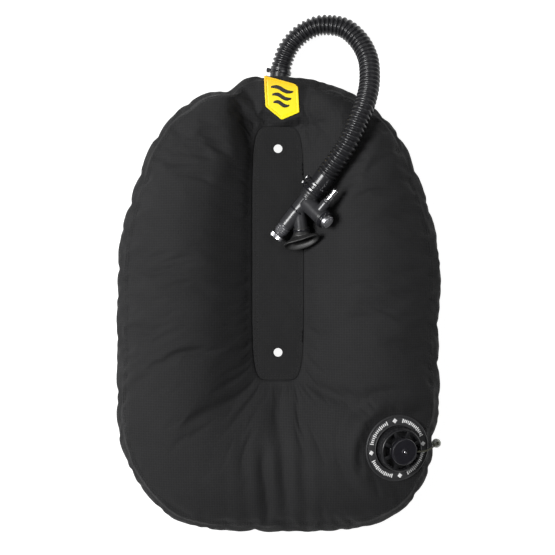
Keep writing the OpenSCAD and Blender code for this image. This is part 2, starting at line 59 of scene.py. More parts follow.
# ---------------------------------------------------------------- material kit
class Tree:
    """A few shortcuts for building a node material."""

    def __init__(self, name):
        self.m = bpy.data.materials.new(name)
        self.m.use_nodes = True
        self.nt = self.m.node_tree
        self.bsdf = next(n for n in self.nt.nodes if n.type == "BSDF_PRINCIPLED")

    def node(self, kind, **values):
        n = self.nt.nodes.new(kind)
        for k, v in values.items():
            if hasattr(n, k):
                setattr(n, k, v)
            else:
                n.inputs[k].default_value = v
        return n

    def link(self, a, b):
        self.nt.links.new(a, b)

    def coords(self, uv=None):
        if uv:
            n = self.node("ShaderNodeUVMap")
            n.uv_map = uv
            return n.outputs[0]
        return self.node("ShaderNodeTexCoord").outputs["Object"]

    def noise(self, co, scale, detail=4.0, rough=0.55):
        n = self.node("ShaderNodeTexNoise")
        n.inputs["Scale"].default_value = scale
        n.inputs["Detail"].default_value = detail
        n.inputs["Roughness"].default_value = rough
        self.link(co, n.inputs["Vector"])
        return n.outputs[0]

    def ramp(self, fac, stops):
        n = self.node("ShaderNodeValToRGB")
        el = n.color_ramp.elements
        while len(el) < len(stops):
            el.new(0.5)
        for e, (p, c) in zip(el, stops):
            e.position = p
            e.color = (*c, 1) if len(c) == 3 else c
        self.link(fac, n.inputs[0])
        return n.outputs[0]

    def math(self, op, a, b=None, clamp=False):
        n = self.node("ShaderNodeMath")
        n.operation = op
        n.use_clamp = clamp
        for i, v in enumerate((a, b)):
            if v is None:
                continue
            if isinstance(v, (int, float)):
                n.inputs[i].default_value = v
            else:
                self.link(v, n.inputs[i])
        return n.outputs[0]

    def bump(self, height, strength, distance, after=None):
        n = self.node("ShaderNodeBump")
        n.inputs["Strength"].default_value = strength
        n.inputs["Distance"].default_value = distance
        self.link(height, n.inputs["Height"])
        if after is not None:
            self.link(after, n.inputs["Normal"])
        return n.outputs[0]

    def out(self, color=None, rough=None, normal=None, **fixed):
        if color is not None:
            self.link(color, self.bsdf.inputs["Base Color"])
        if rough is not None:
            self.link(rough, self.bsdf.inputs["Roughness"])
        if normal is not None:
            self.link(normal, self.bsdf.inputs["Normal"])
        for k, v in fixed.items():
            self.bsdf.inputs[k.replace("_", " ")].default_value = v
        return self.m


def shade(c, k):
    return tuple(min(1, x * k) for x in c)


def fabric(name, base, pitch=0.0011, uv="weave", sheen=0.02):
    """Coarse woven nylon: crossing yarns, slubs, dust and soft creases."""
    t = Tree(name)
    co = t.coords(uv)
    obj = t.coords()
    sep = t.node("ShaderNodeSeparateXYZ")
    t.link(co, sep.inputs[0])
    w = 2 * math.pi / pitch
    warp = t.math("SINE", t.math("MULTIPLY", sep.outputs[0], w))
    weft = t.math("SINE", t.math("MULTIPLY", sep.outputs[1], w))
    yarn = t.math("MULTIPLY", warp, weft)
    lines = t.math("MAXIMUM", t.math("ABSOLUTE", warp), t.math("ABSOLUTE", weft))
    rip = 0
    for axis in (0, 1):
        c = t.math("ABSOLUTE", t.math("COSINE", t.math("MULTIPLY", sep.outputs[axis], math.pi / 0.0033)))
        c = t.math("POWER", c, 14)
        rip = c if axis == 0 else t.math("MAXIMUM", rip, c)
    slub = t.noise(co, 420, 3)
    broad = t.noise(obj, 9, 5)
    patchy = t.noise(obj, 38, 4)
    dust = t.noise(obj, 900, 2)
    tone = t.math("ADD", t.math("MULTIPLY", yarn, 0.14), t.math("MULTIPLY", slub, 0.5))
    tone = t.math("ADD", tone, t.math("MULTIPLY", broad, 0.35))
    tone = t.math("ADD", tone, t.math("MULTIPLY", patchy, 0.22))
    tone = t.math("ADD", tone, t.math("MULTIPLY", rip, 0.34))
    color = t.ramp(tone, [(0.25, shade(base, 0.6)), (0.6, base), (0.95, shade(base, 1.5))])
    rough = t.math("ADD", t.math("MULTIPLY", dust, 0.12), 0.68)
    creases = t.noise(obj, 26, 6, 0.6)
    n1 = t.bump(creases, 0.16, 0.006)
    relief = t.math("ADD", t.math("ADD", t.math("MULTIPLY", yarn, 0.6), lines), t.math("MULTIPLY", rip, 0.8))
    n2 = t.bump(relief, 0.4, 0.00024, n1)
    return t.out(color, rough, n2, Sheen_Weight=sheen, Sheen_Roughness=0.5, Specular_IOR_Level=0.18)


def plastic(name, base, rough=0.38, grain=0.25, spec=0.5, coat=0.0, wear=0.0):
    """Moulded plastic or rubber: fine grain, uneven gloss, faint scuffs."""
    t = Tree(name)
    obj = t.coords()
    fine = t.noise(obj, 1600, 3)
    mid = t.noise(obj, 160, 5)
    broad = t.noise(obj, 35, 4)
    tone = t.math("ADD", t.math("MULTIPLY", mid, 0.55), t.math("MULTIPLY", broad, 0.45))
    color = t.ramp(tone, [(0.3, shade(base, 0.8)), (0.6, base), (0.82, shade(base, 1.28 + wear))])
    r = t.math("ADD", t.math("MULTIPLY", mid, 0.16), rough - 0.08)
    n = t.bump(fine, grain, 0.00012)
    n = t.bump(mid, 0.1, 0.0006, n)
    return t.out(color, r, n, Specular_IOR_Level=spec, Coat_Weight=coat, Coat_Roughness=0.2)


def metal(name, base, rough=0.22, brushed=0.3):
    """Plated or brushed metal with fine streaks and small stains."""
    t = Tree(name)
    obj = t.coords()
    mp = t.node("ShaderNodeMapping")
    mp.inputs["Scale"].default_value = (900, 900, 60)
    t.link(obj, mp.inputs["Vector"])
    streak = t.noise(mp.outputs[0], 1.0, 3)
    mid = t.noise(obj, 220, 4)
    color = t.ramp(mid, [(0.3, shade(base, 0.78)), (0.65, base)])
    r = t.math("ADD", t.math("MULTIPLY", mid, 0.2), rough - 0.08)
    n = t.bump(streak, brushed, 0.0001)
    return t.out(color, r, n, Metallic=1.0)


M = {
    "shell": fabric("wing_fabric", (0.0148, 0.0148, 0.0154)),
    # painted shade: the centre strip is the shell's fabric, given a darker base colour to stand for the shade in
    # the valley between the lobes
    "panel": fabric("panel_fabric", (0.0108, 0.0108, 0.0112), uv=None),
    "thread": plastic("thread", (0.006, 0.006, 0.0065), 0.7, 0.5),
    "yellow_rim": plastic("patch_rim", (0.97, 0.74, 0.03), 0.35, 0.12),
    "mark": plastic("patch_mark_black", (0.016, 0.015, 0.016), 0.4, 0.2),
    "hose": plastic("hose_rubber", (0.017, 0.017, 0.019), 0.3, 0.25),
    "black": plastic("black_plastic", (0.024, 0.024, 0.026), 0.34, 0.3),
    "satin": plastic("satin_plastic", (0.034, 0.034, 0.037), 0.31, 0.2),
    "collar": plastic("collar_plastic", (0.075, 0.075, 0.082), 0.32, 0.3),
    "gloss": plastic("gloss_nylon", (0.012, 0.012, 0.015), 0.14, 0.1, coat=0.5),
    "rubber": plastic("soft_rubber", (0.022, 0.022, 0.022), 0.46, 0.35),
    "silver": metal("silver_button", (0.66, 0.66, 0.69), 0.32),
    "chrome": metal("chrome_plate", (0.86, 0.86, 0.88), 0.12, 0.1),
    "steel": metal("spring_wire", (0.5, 0.5, 0.52), 0.3),
    "ring": plastic("ring_plastic", (0.034, 0.034, 0.036), 0.5, 0.35),
    "knob": plastic("knob_plastic", (0.0105, 0.01, 0.014), 0.3, 0.3),
    "valve": plastic("valve_plastic", (0.0115, 0.0115, 0.013), 0.33, 0.3),
    "white": plastic("ring_print", (0.95, 0.95, 0.95), 0.5, 0.1),
    "film": plastic("bladder_film", (0.7, 0.3, 0.06), 0.35, 0.2),
    "zip": plastic("zip_plastic", (0.02, 0.02, 0.02), 0.35, 0.2),
    "tape": fabric("zip_tape_weave", (0.018, 0.018, 0.018), pitch=0.0008, uv=None),
    "cord": fabric("cord_braid", (0.075, 0.075, 0.05), pitch=0.0007, uv=None),
}


def ball_material():
    t = Tree("ball_plastic")
    obj = t.coords()
    mid = t.noise(obj, 300, 4)
    color = t.ramp(mid, [(0.3, (0.5, 0.52, 0.46)), (0.7, (0.66, 0.68, 0.62))])
    n = t.bump(mid, 0.15, 0.0003)
    r = t.math("ADD", t.math("MULTIPLY", mid, 0.1), 0.2)
    return t.out(color, r, n, Transmission_Weight=0.25, IOR=1.4, Subsurface_Weight=0.25,
                 Subsurface_Radius=(0.004, 0.004, 0.003))


M["ball"] = ball_material()


def badge_material():
    """Moulded yellow rubber, deeper in colour towards its top edge."""
    t = Tree("badge_yellow")
    obj = t.coords()
    sep = t.node("ShaderNodeSeparateXYZ")
    t.link(obj, sep.inputs[0])
    up = t.math("DIVIDE", t.math("SUBTRACT", sep.outputs[1], 0.177), 0.06)
    mid = t.noise(obj, 240, 4)
    fine = t.noise(obj, 1500, 3)
    tone = t.math("ADD", up, t.math("MULTIPLY", t.math("SUBTRACT", mid, 0.5), 0.25))
    color = t.ramp(tone, [(0.1, (0.93, 0.78, 0.0)), (0.55, (0.93, 0.72, 0.0)), (0.95, (0.9, 0.5, 0.002))])
    r = t.math("ADD", t.math("MULTIPLY", mid, 0.15), 0.38)
    return t.out(color, r, t.bump(fine, 0.15, 0.0001))


M["yellow"] = badge_material()


# ---------------------------------------------------------------- mesh kit
def smooth_faces(me):
    me.polygons.foreach_set("use_smooth", [True] * len(me.polygons))


def dress(ob, mat):
    """Gives an object one material and smooth shading."""
    ob.data.materials.clear()
    ob.data.materials.append(M[mat])
    smooth_faces(ob.data)


def make(name, verts, faces, mat, smooth=True):
    me = bpy.data.meshes.new(name)
    me.from_pydata([tuple(v) for v in verts], [], [tuple(f) for f in faces])
    me.update()
    ob = bpy.data.objects.new(name, me)
    scene.collection.objects.link(ob)
    me.materials.append(M[mat] if isinstance(mat, str) else mat)
    if smooth:
        smooth_faces(me)
    return ob


def settle(ob, body, replaces=()):
    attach(ob, body)
    if replaces:
        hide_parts(*replaces)
    return ob


def grid_faces(rows, cols, close_cols=True, close_rows=False):
    out = []
    for r in range(rows if close_rows else rows - 1):
        r2 = (r + 1) % rows
        for c in range(cols if close_cols else cols - 1):
            c2 = (c + 1) % cols
            out.append((r * cols + c, r * cols + c2, r2 * cols + c2, r2 * cols + c))
    return out


def rot(ax, deg):
    return Matrix.Rotation(math.radians(deg), 4, ax)


def shift(x, y, z):
    return Matrix.Translation((x, y, z))


def lathe(profile, seg=64, flute=None):
    """Closed solid of revolution about Z from (radius, height) points; flute(angle, r, z) moves r."""
    pts, faces = [], []
    n = len(profile)
    for r, z in profile:
        for k in range(seg):
            a = 2 * math.pi * k / seg
            rr = flute(a, r, z) if flute else r
            pts.append((rr * math.cos(a), rr * math.sin(a), z))
    for i in range(n):
        j = (i + 1) % n
        if profile[i][0] < 1e-6 and profile[j][0] < 1e-6:
            continue
        for k in range(seg):
            k2 = (k + 1) % seg
            faces.append((i * seg + k, i * seg + k2, j * seg + k2, j * seg + k))
    return pts, faces


def rounded(profile, r=0.4, steps=3):
    """Rounds the corners of a closed (radius, height) outline."""
    out = []
    n = len(profile)
    for i in range(n):
        p0, p, p1 = (Vector(profile[j % n]) for j in (i - 1, i, i + 1))
        a, b = p0 - p, p1 - p
        if a.length < 1e-6 or b.length < 1e-6 or p.x < 1e-6:
            out.append(tuple(p))
            continue
        q = min(r, a.length * 0.45, b.length * 0.45)
        s, e = p + a.normalized() * q, p + b.normalized() * q
        for k in range(steps + 1):
            u = k / steps
            v = s * (1 - u) ** 2 + p * 2 * u * (1 - u) + e * u ** 2
            out.append(tuple(v))
    return out


def put(name, shape, matrix, mat, smooth_angle=None):
    """Object from (points, faces) in mm, moved by matrix, merged and turned outwards."""
    pts, faces = shape
    verts = [(matrix @ Vector(p)) * MM for p in pts]
    ob = make(name, verts, faces, mat)
    bm = bmesh.new()
    bm.from_mesh(ob.data)
    bmesh.ops.remove_doubles(bm, verts=bm.verts, dist=1e-6)
    bmesh.ops.recalc_face_normals(bm, faces=bm.faces)
    bm.to_mesh(ob.data)
    bm.free()
    smooth_faces(ob.data)
    if smooth_angle:
        crisp(ob, smooth_angle)
    return ob


def crisp(ob, degrees=40):
    """Sharp shading across edges steeper than the angle."""
    bm = bmesh.new()
    bm.from_mesh(ob.data)
    lim = math.radians(degrees)
    for e in bm.edges:
        if len(e.link_faces) == 2 and e.calc_face_angle(0) > lim:
            e.smooth = False
    bm.to_mesh(ob.data)
    bm.free()


def bake(ob):
    """Applies an object's modifiers to its mesh."""
    dg = bpy.context.evaluated_depsgraph_get()
    me = bpy.data.meshes.new_from_object(ob.evaluated_get(dg))
    ob.modifiers.clear()
    ob.data = me
    return ob


def join_shapes(*shapes):
    pts, faces = [], []
    for p, f in shapes:
        o = len(pts)
        pts += list(p)
        faces += [tuple(i + o for i in q) for q in f]
    return pts, faces


def moved(shape, m):
    return [tuple(m @ Vector(p)) for p in shape[0]], shape[1]


def block(x0, x1, y0, y1, z0, z1, bevel=0.4):
    """Box with chamfered edges, in mm."""
    bm = bmesh.new()
    bmesh.ops.create_cube(bm, size=1)
    for v in bm.verts:
        v.co = Vector((x0 if v.co.x < 0 else x1, y0 if v.co.y < 0 else y1, z0 if v.co.z < 0 else z1))
    bmesh.ops.bevel(bm, geom=bm.edges[:], offset=bevel, segments=2, affect="EDGES", profile=0.6)
    bm.verts.index_update()
    out = [tuple(v.co) for v in bm.verts], [tuple(v.index for v in f.verts) for f in bm.faces]
    bm.free()
    return out


def catmull(pts, per):
    pts = [np.array(p, float) for p in pts]
    out = []
    n = len(pts)
    for i in range(n - 1):
        p1, p2 = pts[i], pts[i + 1]
        p0 = pts[i - 1] if i else 2 * p1 - p2
        p3 = pts[i + 2] if i < n - 2 else 2 * p2 - p1
        for k in range(per):
            f = k / per
            out.append(0.5 * (2 * p1 + (p2 - p0) * f + (2 * p0 - 5 * p1 + 4 * p2 - p3) * f ** 2
                              + (3 * p1 - p0 - 3 * p2 + p3) * f ** 3))
    out.append(pts[-1])
    return np.array(out)


def resample(path, step):
    seg = np.linalg.norm(np.diff(path, axis=0), axis=1)
    s = np.concatenate([[0], np.cumsum(seg)])
    n = max(2, int(round(s[-1] / step)))
    t = np.linspace(0, s[-1], n + 1)
    return np.stack([np.interp(t, s, path[:, k]) for k in range(3)], 1), t


def sweep(path, radius, sides, start_dir=None, end_dir=None):
    """Tube along path (mm) with one radius per ring."""
    n = len(path)
    tang = np.gradient(path, axis=0)
    if start_dir is not None:
        tang[0] = start_dir
    if end_dir is not None:
        tang[-1] = end_dir
    tang /= np.linalg.norm(tang, axis=1)[:, None]
    u = np.cross([0.05, 0.08, 1.0], tang[0])
    u /= np.linalg.norm(u)
    pts = []
    for i in range(n):
        u = u - tang[i] * np.dot(u, tang[i])
        u /= np.linalg.norm(u)
        v = np.cross(tang[i], u)
        for k in range(sides):
            a = 2 * math.pi * k / sides
            pts.append(path[i] + radius[i] * (u * math.cos(a) + v * math.sin(a)))
    faces = [tuple(reversed(f)) for f in grid_faces(n, sides)]
    faces.append(tuple(range(sides)))
    faces.append(tuple((n - 1) * sides + k for k in reversed(range(sides))))
    return [tuple(p) for p in pts], faces


# ---------------------------------------------------------------- hose
HOSE_ROUTE = [
    (-2.2, 217.7, -27.5), (1, 235.5, -27.5), (4.5, 255.5, -27.5), (14, 281, -27), (31, 300, -25),
    (52, 311, -22), (72, 312, -18), (93, 306, -12), (111, 288, -4), (121, 267, 6), (124, 248, 16),
    (123, 223, 28), (118, 201, 38), (110, 180, 46), (91, 139, 50), (62, 97.4, 37), (46, 77.7, 31.1),
]
CUFF_TOP, CUFF_END = 37.0, 30.5
HOSE_BED = ((122, 232), (40, 70))  # the line over which the hose lies on the cell
RIB_PITCH = 6.3
infl_az, infl_pitch = 231, 13
ELBOW_LEAN = 10
d_az, d_p = math.radians(infl_az), math.radians(infl_pitch)
INFL_DIR = (math.cos(d_az) * math.cos(d_p), math.sin(d_az) * math.cos(d_p), -math.sin(d_p))
BARB_DIR = (math.sin(math.radians(ELBOW_LEAN)), math.cos(math.radians(ELBOW_LEAN)), 0)

hose_path, hose_s = resample(catmull(HOSE_ROUTE, 24), 0.7)
hose_len = hose_s[-1]
ribs = round((hose_len - CUFF_TOP - CUFF_END) / RIB_PITCH)
rib_span = hose_len - CUFF_TOP - CUFF_END


def hose_radius(s):
    if s < CUFF_TOP:
        lip = 0.5 * math.exp(-((s - 1.5) / 1.2) ** 2)
        waist = 0.35 * math.exp(-((s - 21) / 9) ** 2)
        return 13.5 + lip - waist + 0.55 * max(0, (s - 30) / 7)
    if s > hose_len - CUFF_END:
        q = hose_len - s
        lip = 0.5 * math.exp(-((q - 1.5) / 1.2) ** 2)
        return 13.6 + lip - 0.4 * math.exp(-((q - 12) / 8) ** 2) + 0.45 * max(0, (q - 29) / 7)
    f = (s - CUFF_TOP) / rib_span * ribs
    valley = (0.5 + 0.5 * math.cos(2 * math.pi * f)) ** 1.7
    return 14.2 - 3.1 * valley


hose = put("corrugated_hose_skin", sweep(hose_path, [hose_radius(s) for s in hose_s], 40, BARB_DIR, INFL_DIR),
           Matrix(), "hose")
settle(hose, "wing", ["corrugated_hose"])

# ---------------------------------------------------------------- dump pull cord and ball
CORD_ROUTE = [
    (184.6, -268, 53.5), (192, -269, 46), (200, -269, 35), (206, -268, 24), (211, -267, 13),
    (215, -266, 5), (217.6, -265, -1.5),
]
cord_path, cord_s = resample(catmull(CORD_ROUTE, 16), 0.5)
pull_cord = put("pull_cord_braid", sweep(cord_path, [1.05 + 0.07 * math.sin(s * 5) for s in cord_s], 16),
                Matrix(), "cord")
settle(pull_cord, "dump_pull", ["pull_cord"])
BEAD = shift(217.8, -264.8, -8) @ rot("Y", 12)
ball_profile = [(2.6, 5.6), (3.6, 5.5), (4.9, 4.3), (6.0, 2.4), (6.45, 0), (6.0, -2.4), (4.9, -4.3),
                (3.6, -5.5),
                (2.6, -5.6), (2.2, -3), (2.1, 0), (2.2, 3)]
pull_ball = put("pull_ball_bead", lathe(rounded(ball_profile, 0.8, 3), 48), BEAD, "ball")
settle(pull_ball, "dump_pull", ["pull_ball"])
knot = put("pull_cord_knot", lathe(rounded([(0.001, 4.8), (1.6, 4.3), (2.1, 2.5), (1.9, -3), (1.2, -4),
                                            (0.001, -4.2)], 0.5), 20),
           BEAD, "cord")
settle(knot, "dump_pull")

# ---------------------------------------------------------------- air cell shape, in mm
TOP_Z, LOW_Z, INSET = 12.0, -24.0, 9.0
DUMP_C = Vector((159.4, -265.5, 37))
DUMP_N = (0.309017, -0.08289, 0.947437)
DUMP = shift(*DUMP_C) @ rot("X", 5) @ rot("Y", 18)
INFL = shift(*HOSE_ROUTE[-1]) @ rot("Z", infl_az) @ rot("Y", infl_pitch)
LABEL = [(-19, 236), (22, 225), (27, 221), (29, 187), (5, 177), (-17, 195)]


def sgn_pow(v, p):
    return np.sign(v) * np.abs(v) ** p


def smooth(v, a, b):
    q = np.clip((np.asarray(v, float) - a) / (b - a), 0, 1)
    return q * q * (3 - 2 * q)


def rise(a):
    return sgn_pow(np.sin(a), np.where(np.sin(a) >= 0, 2 / 2.4, 0.5))


def outer_xy(a, inset):
    up = np.sin(a) >= 0
    x = (220 - inset) * sgn_pow(np.cos(a), np.where(up, 2 / 2.4, 0.5))
    return np.stack([x, -60 + (np.where(up, 296, 325) - inset) * rise(a)], -1)


def inner_xy(a):
    r = rise(a)
    x = 34.5 * np.sign(np.cos(a)) * np.maximum(0, 1 - np.abs(r) ** 6) ** (1 / 6)
    return np.stack([x, -4 + 173 * r], -1)


def pinch(x, y):
    return np.exp(-(x / 60) ** 4) * smooth(y, 120, 175)


def bump_of(s):
    return np.maximum(0, np.sin(np.pi * np.clip(s, 0, 1) ** 0.9)) ** 0.75


def near_line(x, y, a, b):
    d = np.array(b, float) - a
    t = np.clip(((x - a[0]) * d[0] + (y - a[1]) * d[1]) / (d @ d), 0, 1)
    return np.hypot(x - a[0] - t * d[0], y - a[1] - t * d[1])


def front_z(x, y, s):
    lobe = 35 - 30 * pinch(x, y) - 8 * np.exp(-(x / 60) ** 2) * smooth(-y, 120, 200)
    fold = 18 * np.exp(-(x / 13) ** 2) * smooth(y, -290, -180) * smooth(-y, 120, 170)
    gathers = 2.3 * np.sin(x / 4.4 + 0.012 * y) * np.exp(-(x / 48) ** 2) * smooth(-y, 225, 300)
    under_hose = 1 - smooth(near_line(x, y, *HOSE_BED), 14, 56)
    soft = bump_of(s) * (1 - 0.5 * smooth(s, 0.6, 0.97))
    z = (TOP_Z + 2 * pinch(x, y)) * (1 - s) - 0.6 * s + (lobe - fold + gathers - 9 * under_hose) * soft
    plane = 37 - ((x - DUMP_C[0]) * DUMP_N[0] + (y - DUMP_C[1]) * DUMP_N[1]) / DUMP_N[2] - 0.8
    w = (1 - smooth(np.hypot(x - DUMP_C[0], y - DUMP_C[1]), 53, 82)) * smooth(s, 0, 0.12)
    return z * (1 - w) + plane * w


def back_z(x, y, s):
    pn = pinch(x, y)
    z = (LOW_Z + 19 * pn) * (1 - s) - 6 * s - 34 * (1 - pn) * bump_of(s) ** 0.8
    return np.maximum(TABLE, z)


def waves(a, counts, seed):
    """Smooth wandering wave round the outline, with uneven lengths."""
    r = np.random.RandomState(seed)
    out = np.zeros_like(a)
    for c in counts:
        out += np.sin(c * a + r.uniform(0, 6.28) + 1.6 * np.sin(3 * a + r.uniform(0, 6.28))
                      + 1.1 * np.sin(7 * a + r.uniform(0, 6.28))) * r.uniform(0.6, 1)
    return out / len(counts)


def label_plane(y):
    return 13.5 + (y - 177) * math.tan(math.radians(8.5))


# ---------------------------------------------------------------- air cell skin
COLS, FRONT, BACK, SIDE = 440, 36, 20, 9
a_fine = np.linspace(0, 2 * np.pi, 40001)
xy_fine = outer_xy(a_fine, INSET)
arc_fine = np.concatenate([[0], np.cumsum(np.linalg.norm(np.diff(xy_fine, axis=0), axis=1))])
ARC = arc_fine[-1]
arc_at = np.arange(COLS) * ARC / COLS
angle = np.interp(arc_at, arc_fine, a_fine)
th = arc_at / ARC * 2 * np.pi
seam_xy, rim_xy = outer_xy(angle, INSET), inner_xy(angle)

# the sewn outline isn't quite even: [direction from the middle, spread, how far in or out], degrees and mm
UNEVEN = [
    (142, 13, -5.5), (40, 12, -4), (8, 10, 3.5), (-47, 17, 8), (-138, 12, 6.5), (-122, 7, -3.5),
    (103.6, 3.6, -8), (95, 3.5, 4.5), (-43.2, 3.8, -6.6),
]
facing = np.degrees(np.arctan2(seam_xy[:, 1] + 60, seam_xy[:, 0]))
grow = np.zeros(COLS)
for to, spread, mm in UNEVEN:
    off = (facing - to + 180) % 360 - 180
    grow += mm * np.exp(-(off / spread) ** 2)

# the seam wanders a little, and the side band puckers along it
wob_in = grow + 1.1 * waves(th, (17, 29, 43), 3) + 0.2 * waves(th, (89, 113), 5)
wob_z = 1.2 * waves(th, (31, 47, 71), 8)
pucker = waves(th, (23, 37, 53), 11) + 0.3 * waves(th, (97, 131), 12)
out_dir = seam_xy - outer_xy(angle, INSET + 1)
out_dir /= np.maximum(np.linalg.norm(out_dir, axis=1), 1e-9)[:, None]

rows = []
kind = []
front_s = np.linspace(0, 1, FRONT) ** 1.12
for s in front_s:
    p = seam_xy * (1 - s) + rim_xy * s + out_dir * (wob_in * (1 - smooth(s, 0, 0.3)))[:, None]
    z = front_z(p[:, 0], p[:, 1], s) + wob_z * (1 - smooth(s, 0, 0.15))
    rows.append(np.column_stack([p, z]))
    kind.append(("front", s))
for s in np.linspace(1, 0, BACK):
    p = seam_xy * (1 - s) + rim_xy * s + out_dir * (grow * (1 - smooth(s, 0, 0.3)))[:, None]
    rows.append(np.column_stack([p, back_z(p[:, 0], p[:, 1], s)]))
    kind.append(("back", s))
top = rows[0][:, 2]
low = rows[-1][:, 2]
for u in np.linspace(1, 0, SIDE + 2)[1:-1]:
    swell = np.sin(np.pi * u) ** 0.8
    d = (INSET * swell) * (1 + 0.12 * pucker * swell)
    p = seam_xy + out_dir * (d + wob_in * (1 - u) + grow * u)[:, None]
    z = top * (1 - u) + low * u
    rows.append(np.column_stack([p, z]))
    kind.append(("side", u))
grid = np.array(rows)
NR = len(grid)

# flatten under the label; the skin under the ring of the dump valve is already flattened in front_z
gx, gy = grid[:FRONT, :, 0], grid[:FRONT, :, 1]


def label_distance(x, y):
    """Signed distance in mm outside the label's outline."""
    n = len(LABEL)
    best = np.full(np.shape(x), 1e9)
    inside = np.ones(np.shape(x), bool)
    for i in range(n):
        a, b = np.array(LABEL[i], float), np.array(LABEL[(i + 1) % n], float)
        best = np.minimum(best, near_line(x, y, a, b))
        cross = (b[0] - a[0]) * (y - a[1]) - (b[1] - a[1]) * (x - a[0])
        inside &= cross <= 0
    return np.where(inside, -best, best)


lw = 1 - smooth(label_distance(gx, gy), 1, 16)
grid[:FRONT, :, 2] = grid[:FRONT, :, 2] * (1 - lw) + (label_plane(gy) - 0.5) * lw

rest = grid.reshape(-1, 3).copy()
faces = grid_faces(NR, COLS, close_rows=True)
shell = make("air_cell_fabric", rest * MM, faces, "shell")
bm = bmesh.new()
bm.from_mesh(shell.data)
bmesh.ops.recalc_face_normals(bm, faces=bm.faces)
bm.to_mesh(shell.data)
bm.free()

# weave coordinates: plan position on the two broad faces, length by height on the side band
uv = shell.data.uv_layers.new(name="weave")
vals = np.empty(len(shell.data.loops) * 2)
loop_v = np.empty(len(shell.data.loops), int)
shell.data.loops.foreach_get("vertex_index", loop_v)
for poly in shell.data.polygons:
    idx = loop_v[poly.loop_start:poly.loop_start + poly.loop_total]
    rr, cc = idx // COLS, idx % COLS
    wrap = cc.max() - cc.min() > COLS / 2
    side = rr.min() >= FRONT + BACK - 1 or (rr.min() == 0 and rr.max() > FRONT)
    for k, i in enumerate(idx):
        if side:
            c = cc[k] + (COLS if wrap and cc[k] < COLS / 2 else 0)
            r = NR if rr[k] == 0 else rr[k]
            vals[2 * (poly.loop_start + k)] = c * ARC / COLS * MM
            vals[2 * (poly.loop_start + k) + 1] = (r - FRONT) * 0.0045 + 3
        else:
            vals[2 * (poly.loop_start + k)] = rest[i, 0] * MM
            vals[2 * (poly.loop_start + k) + 1] = rest[i, 1] * MM + (0 if rr.min() < FRONT else 1)
uv.data.foreach_set("uv", vals)

row_of = np.arange(len(rest)) // COLS
s_of = np.array([k[1] for k in kind])[row_of]
kinds = np.array([k[0] for k in kind])[row_of]
pin = np.zeros(len(rest))
pin[(row_of == 0) | (row_of == FRONT + BACK - 1)] = 1
broad = kinds != "side"
pin[broad & (s_of > 0.965)] = 1
dx, dy = rest[:, 0] - DUMP_C[0], rest[:, 1] - DUMP_C[1]
pin[(kinds == "front") & (np.hypot(dx, dy) < 46) & (s_of > 0.05)] = 1
pin[(kinds == "back") & (np.hypot(rest[:, 0] + 6, rest[:, 1] - 196) < 30)] = 1
pin[(kinds == "front") & (label_distance(rest[:, 0], rest[:, 1]) < 3)] = 1
near_hose = near_line(rest[:, 0], rest[:, 1], *HOSE_BED)
vg = shell.vertex_groups.new(name="pin")
vg.add([int(i) for i in np.nonzero(pin)[0]], 1.0, "REPLACE")
soft = np.nonzero((pin == 0) & (kinds == "front") & (near_hose < 26))[0]
vg.add([int(i) for i in soft], 0.35, "REPLACE")
cloth = shell.modifiers.new("cloth", "CLOTH")
cs = cloth.settings
cs.quality = 5
cs.mass = 0.25
cs.air_damping = 3
cs.tension_stiffness = 25
cs.compression_stiffness = 14
cs.shear_stiffness = 8
cs.bending_stiffness = 0.35
cs.use_pressure = True
cs.uniform_pressure_force = 3.2
cs.shrink_min = -0.035
cs.vertex_group_mass = "pin"
cs.pin_stiffness = 1
cs.effector_weights.gravity = 0
cloth.collision_settings.use_collision = False
cloth.collision_settings.use_self_collision = False
cloth.point_cache.frame_start = 1
cloth.point_cache.frame_end = 24
scene.frame_start, scene.frame_end = 1, 24
for f in range(1, 25):
    scene.frame_set(f)
got = shell.evaluated_get(bpy.context.evaluated_depsgraph_get()).to_mesh()
co = np.empty(len(rest) * 3)
got.vertices.foreach_get("co", co)
co = co.reshape(-1, 3) / MM
shell.modifiers.clear()
shell.vertex_groups.clear()
scene.frame_set(1)
move = co - rest
size = np.linalg.norm(move, axis=1)
print("cloth moved", float(size.mean()), float(size.max()))
cap = np.where(kinds == "side", 5.0, 7.0)
move *= (cap * np.tanh(size / cap) / np.maximum(size, 1e-6))[:, None]
new = rest + move
new[:, 2] = np.maximum(new[:, 2], TABLE + 0.15)
shell.data.vertices.foreach_set("co", (new * MM).ravel())
shell.data.update()
base_normals = np.empty(len(new) * 3)
shell.data.vertices.foreach_get("normal", base_normals)
base_normals = base_normals.reshape(-1, 3)
sub = shell.modifiers.new("sub", "SUBSURF")
sub.levels = sub.render_levels = 1
bake(shell)
smooth_faces(shell.data)
settle(shell, "wing", ["front_shell", "back_shell", "edge_gusset"])

shell_tree = BVHTree.FromPolygons([v.co.copy() for v in shell.data.vertices],
                                  [tuple(p.vertices) for p in shell.data.polygons])


def surface(x, y, side=1):
    """Height and normal of the skin at a plan point, seen from the diver's side or the tank side."""
    hit = shell_tree.ray_cast(Vector((x * MM, y * MM, 0.2 * side)), Vector((0, 0, -side)))
    if hit[0] is None:
        return None, None
    n = hit[1] if hit[1].z * side > 0 else -hit[1]
    return hit[0].z / MM, n


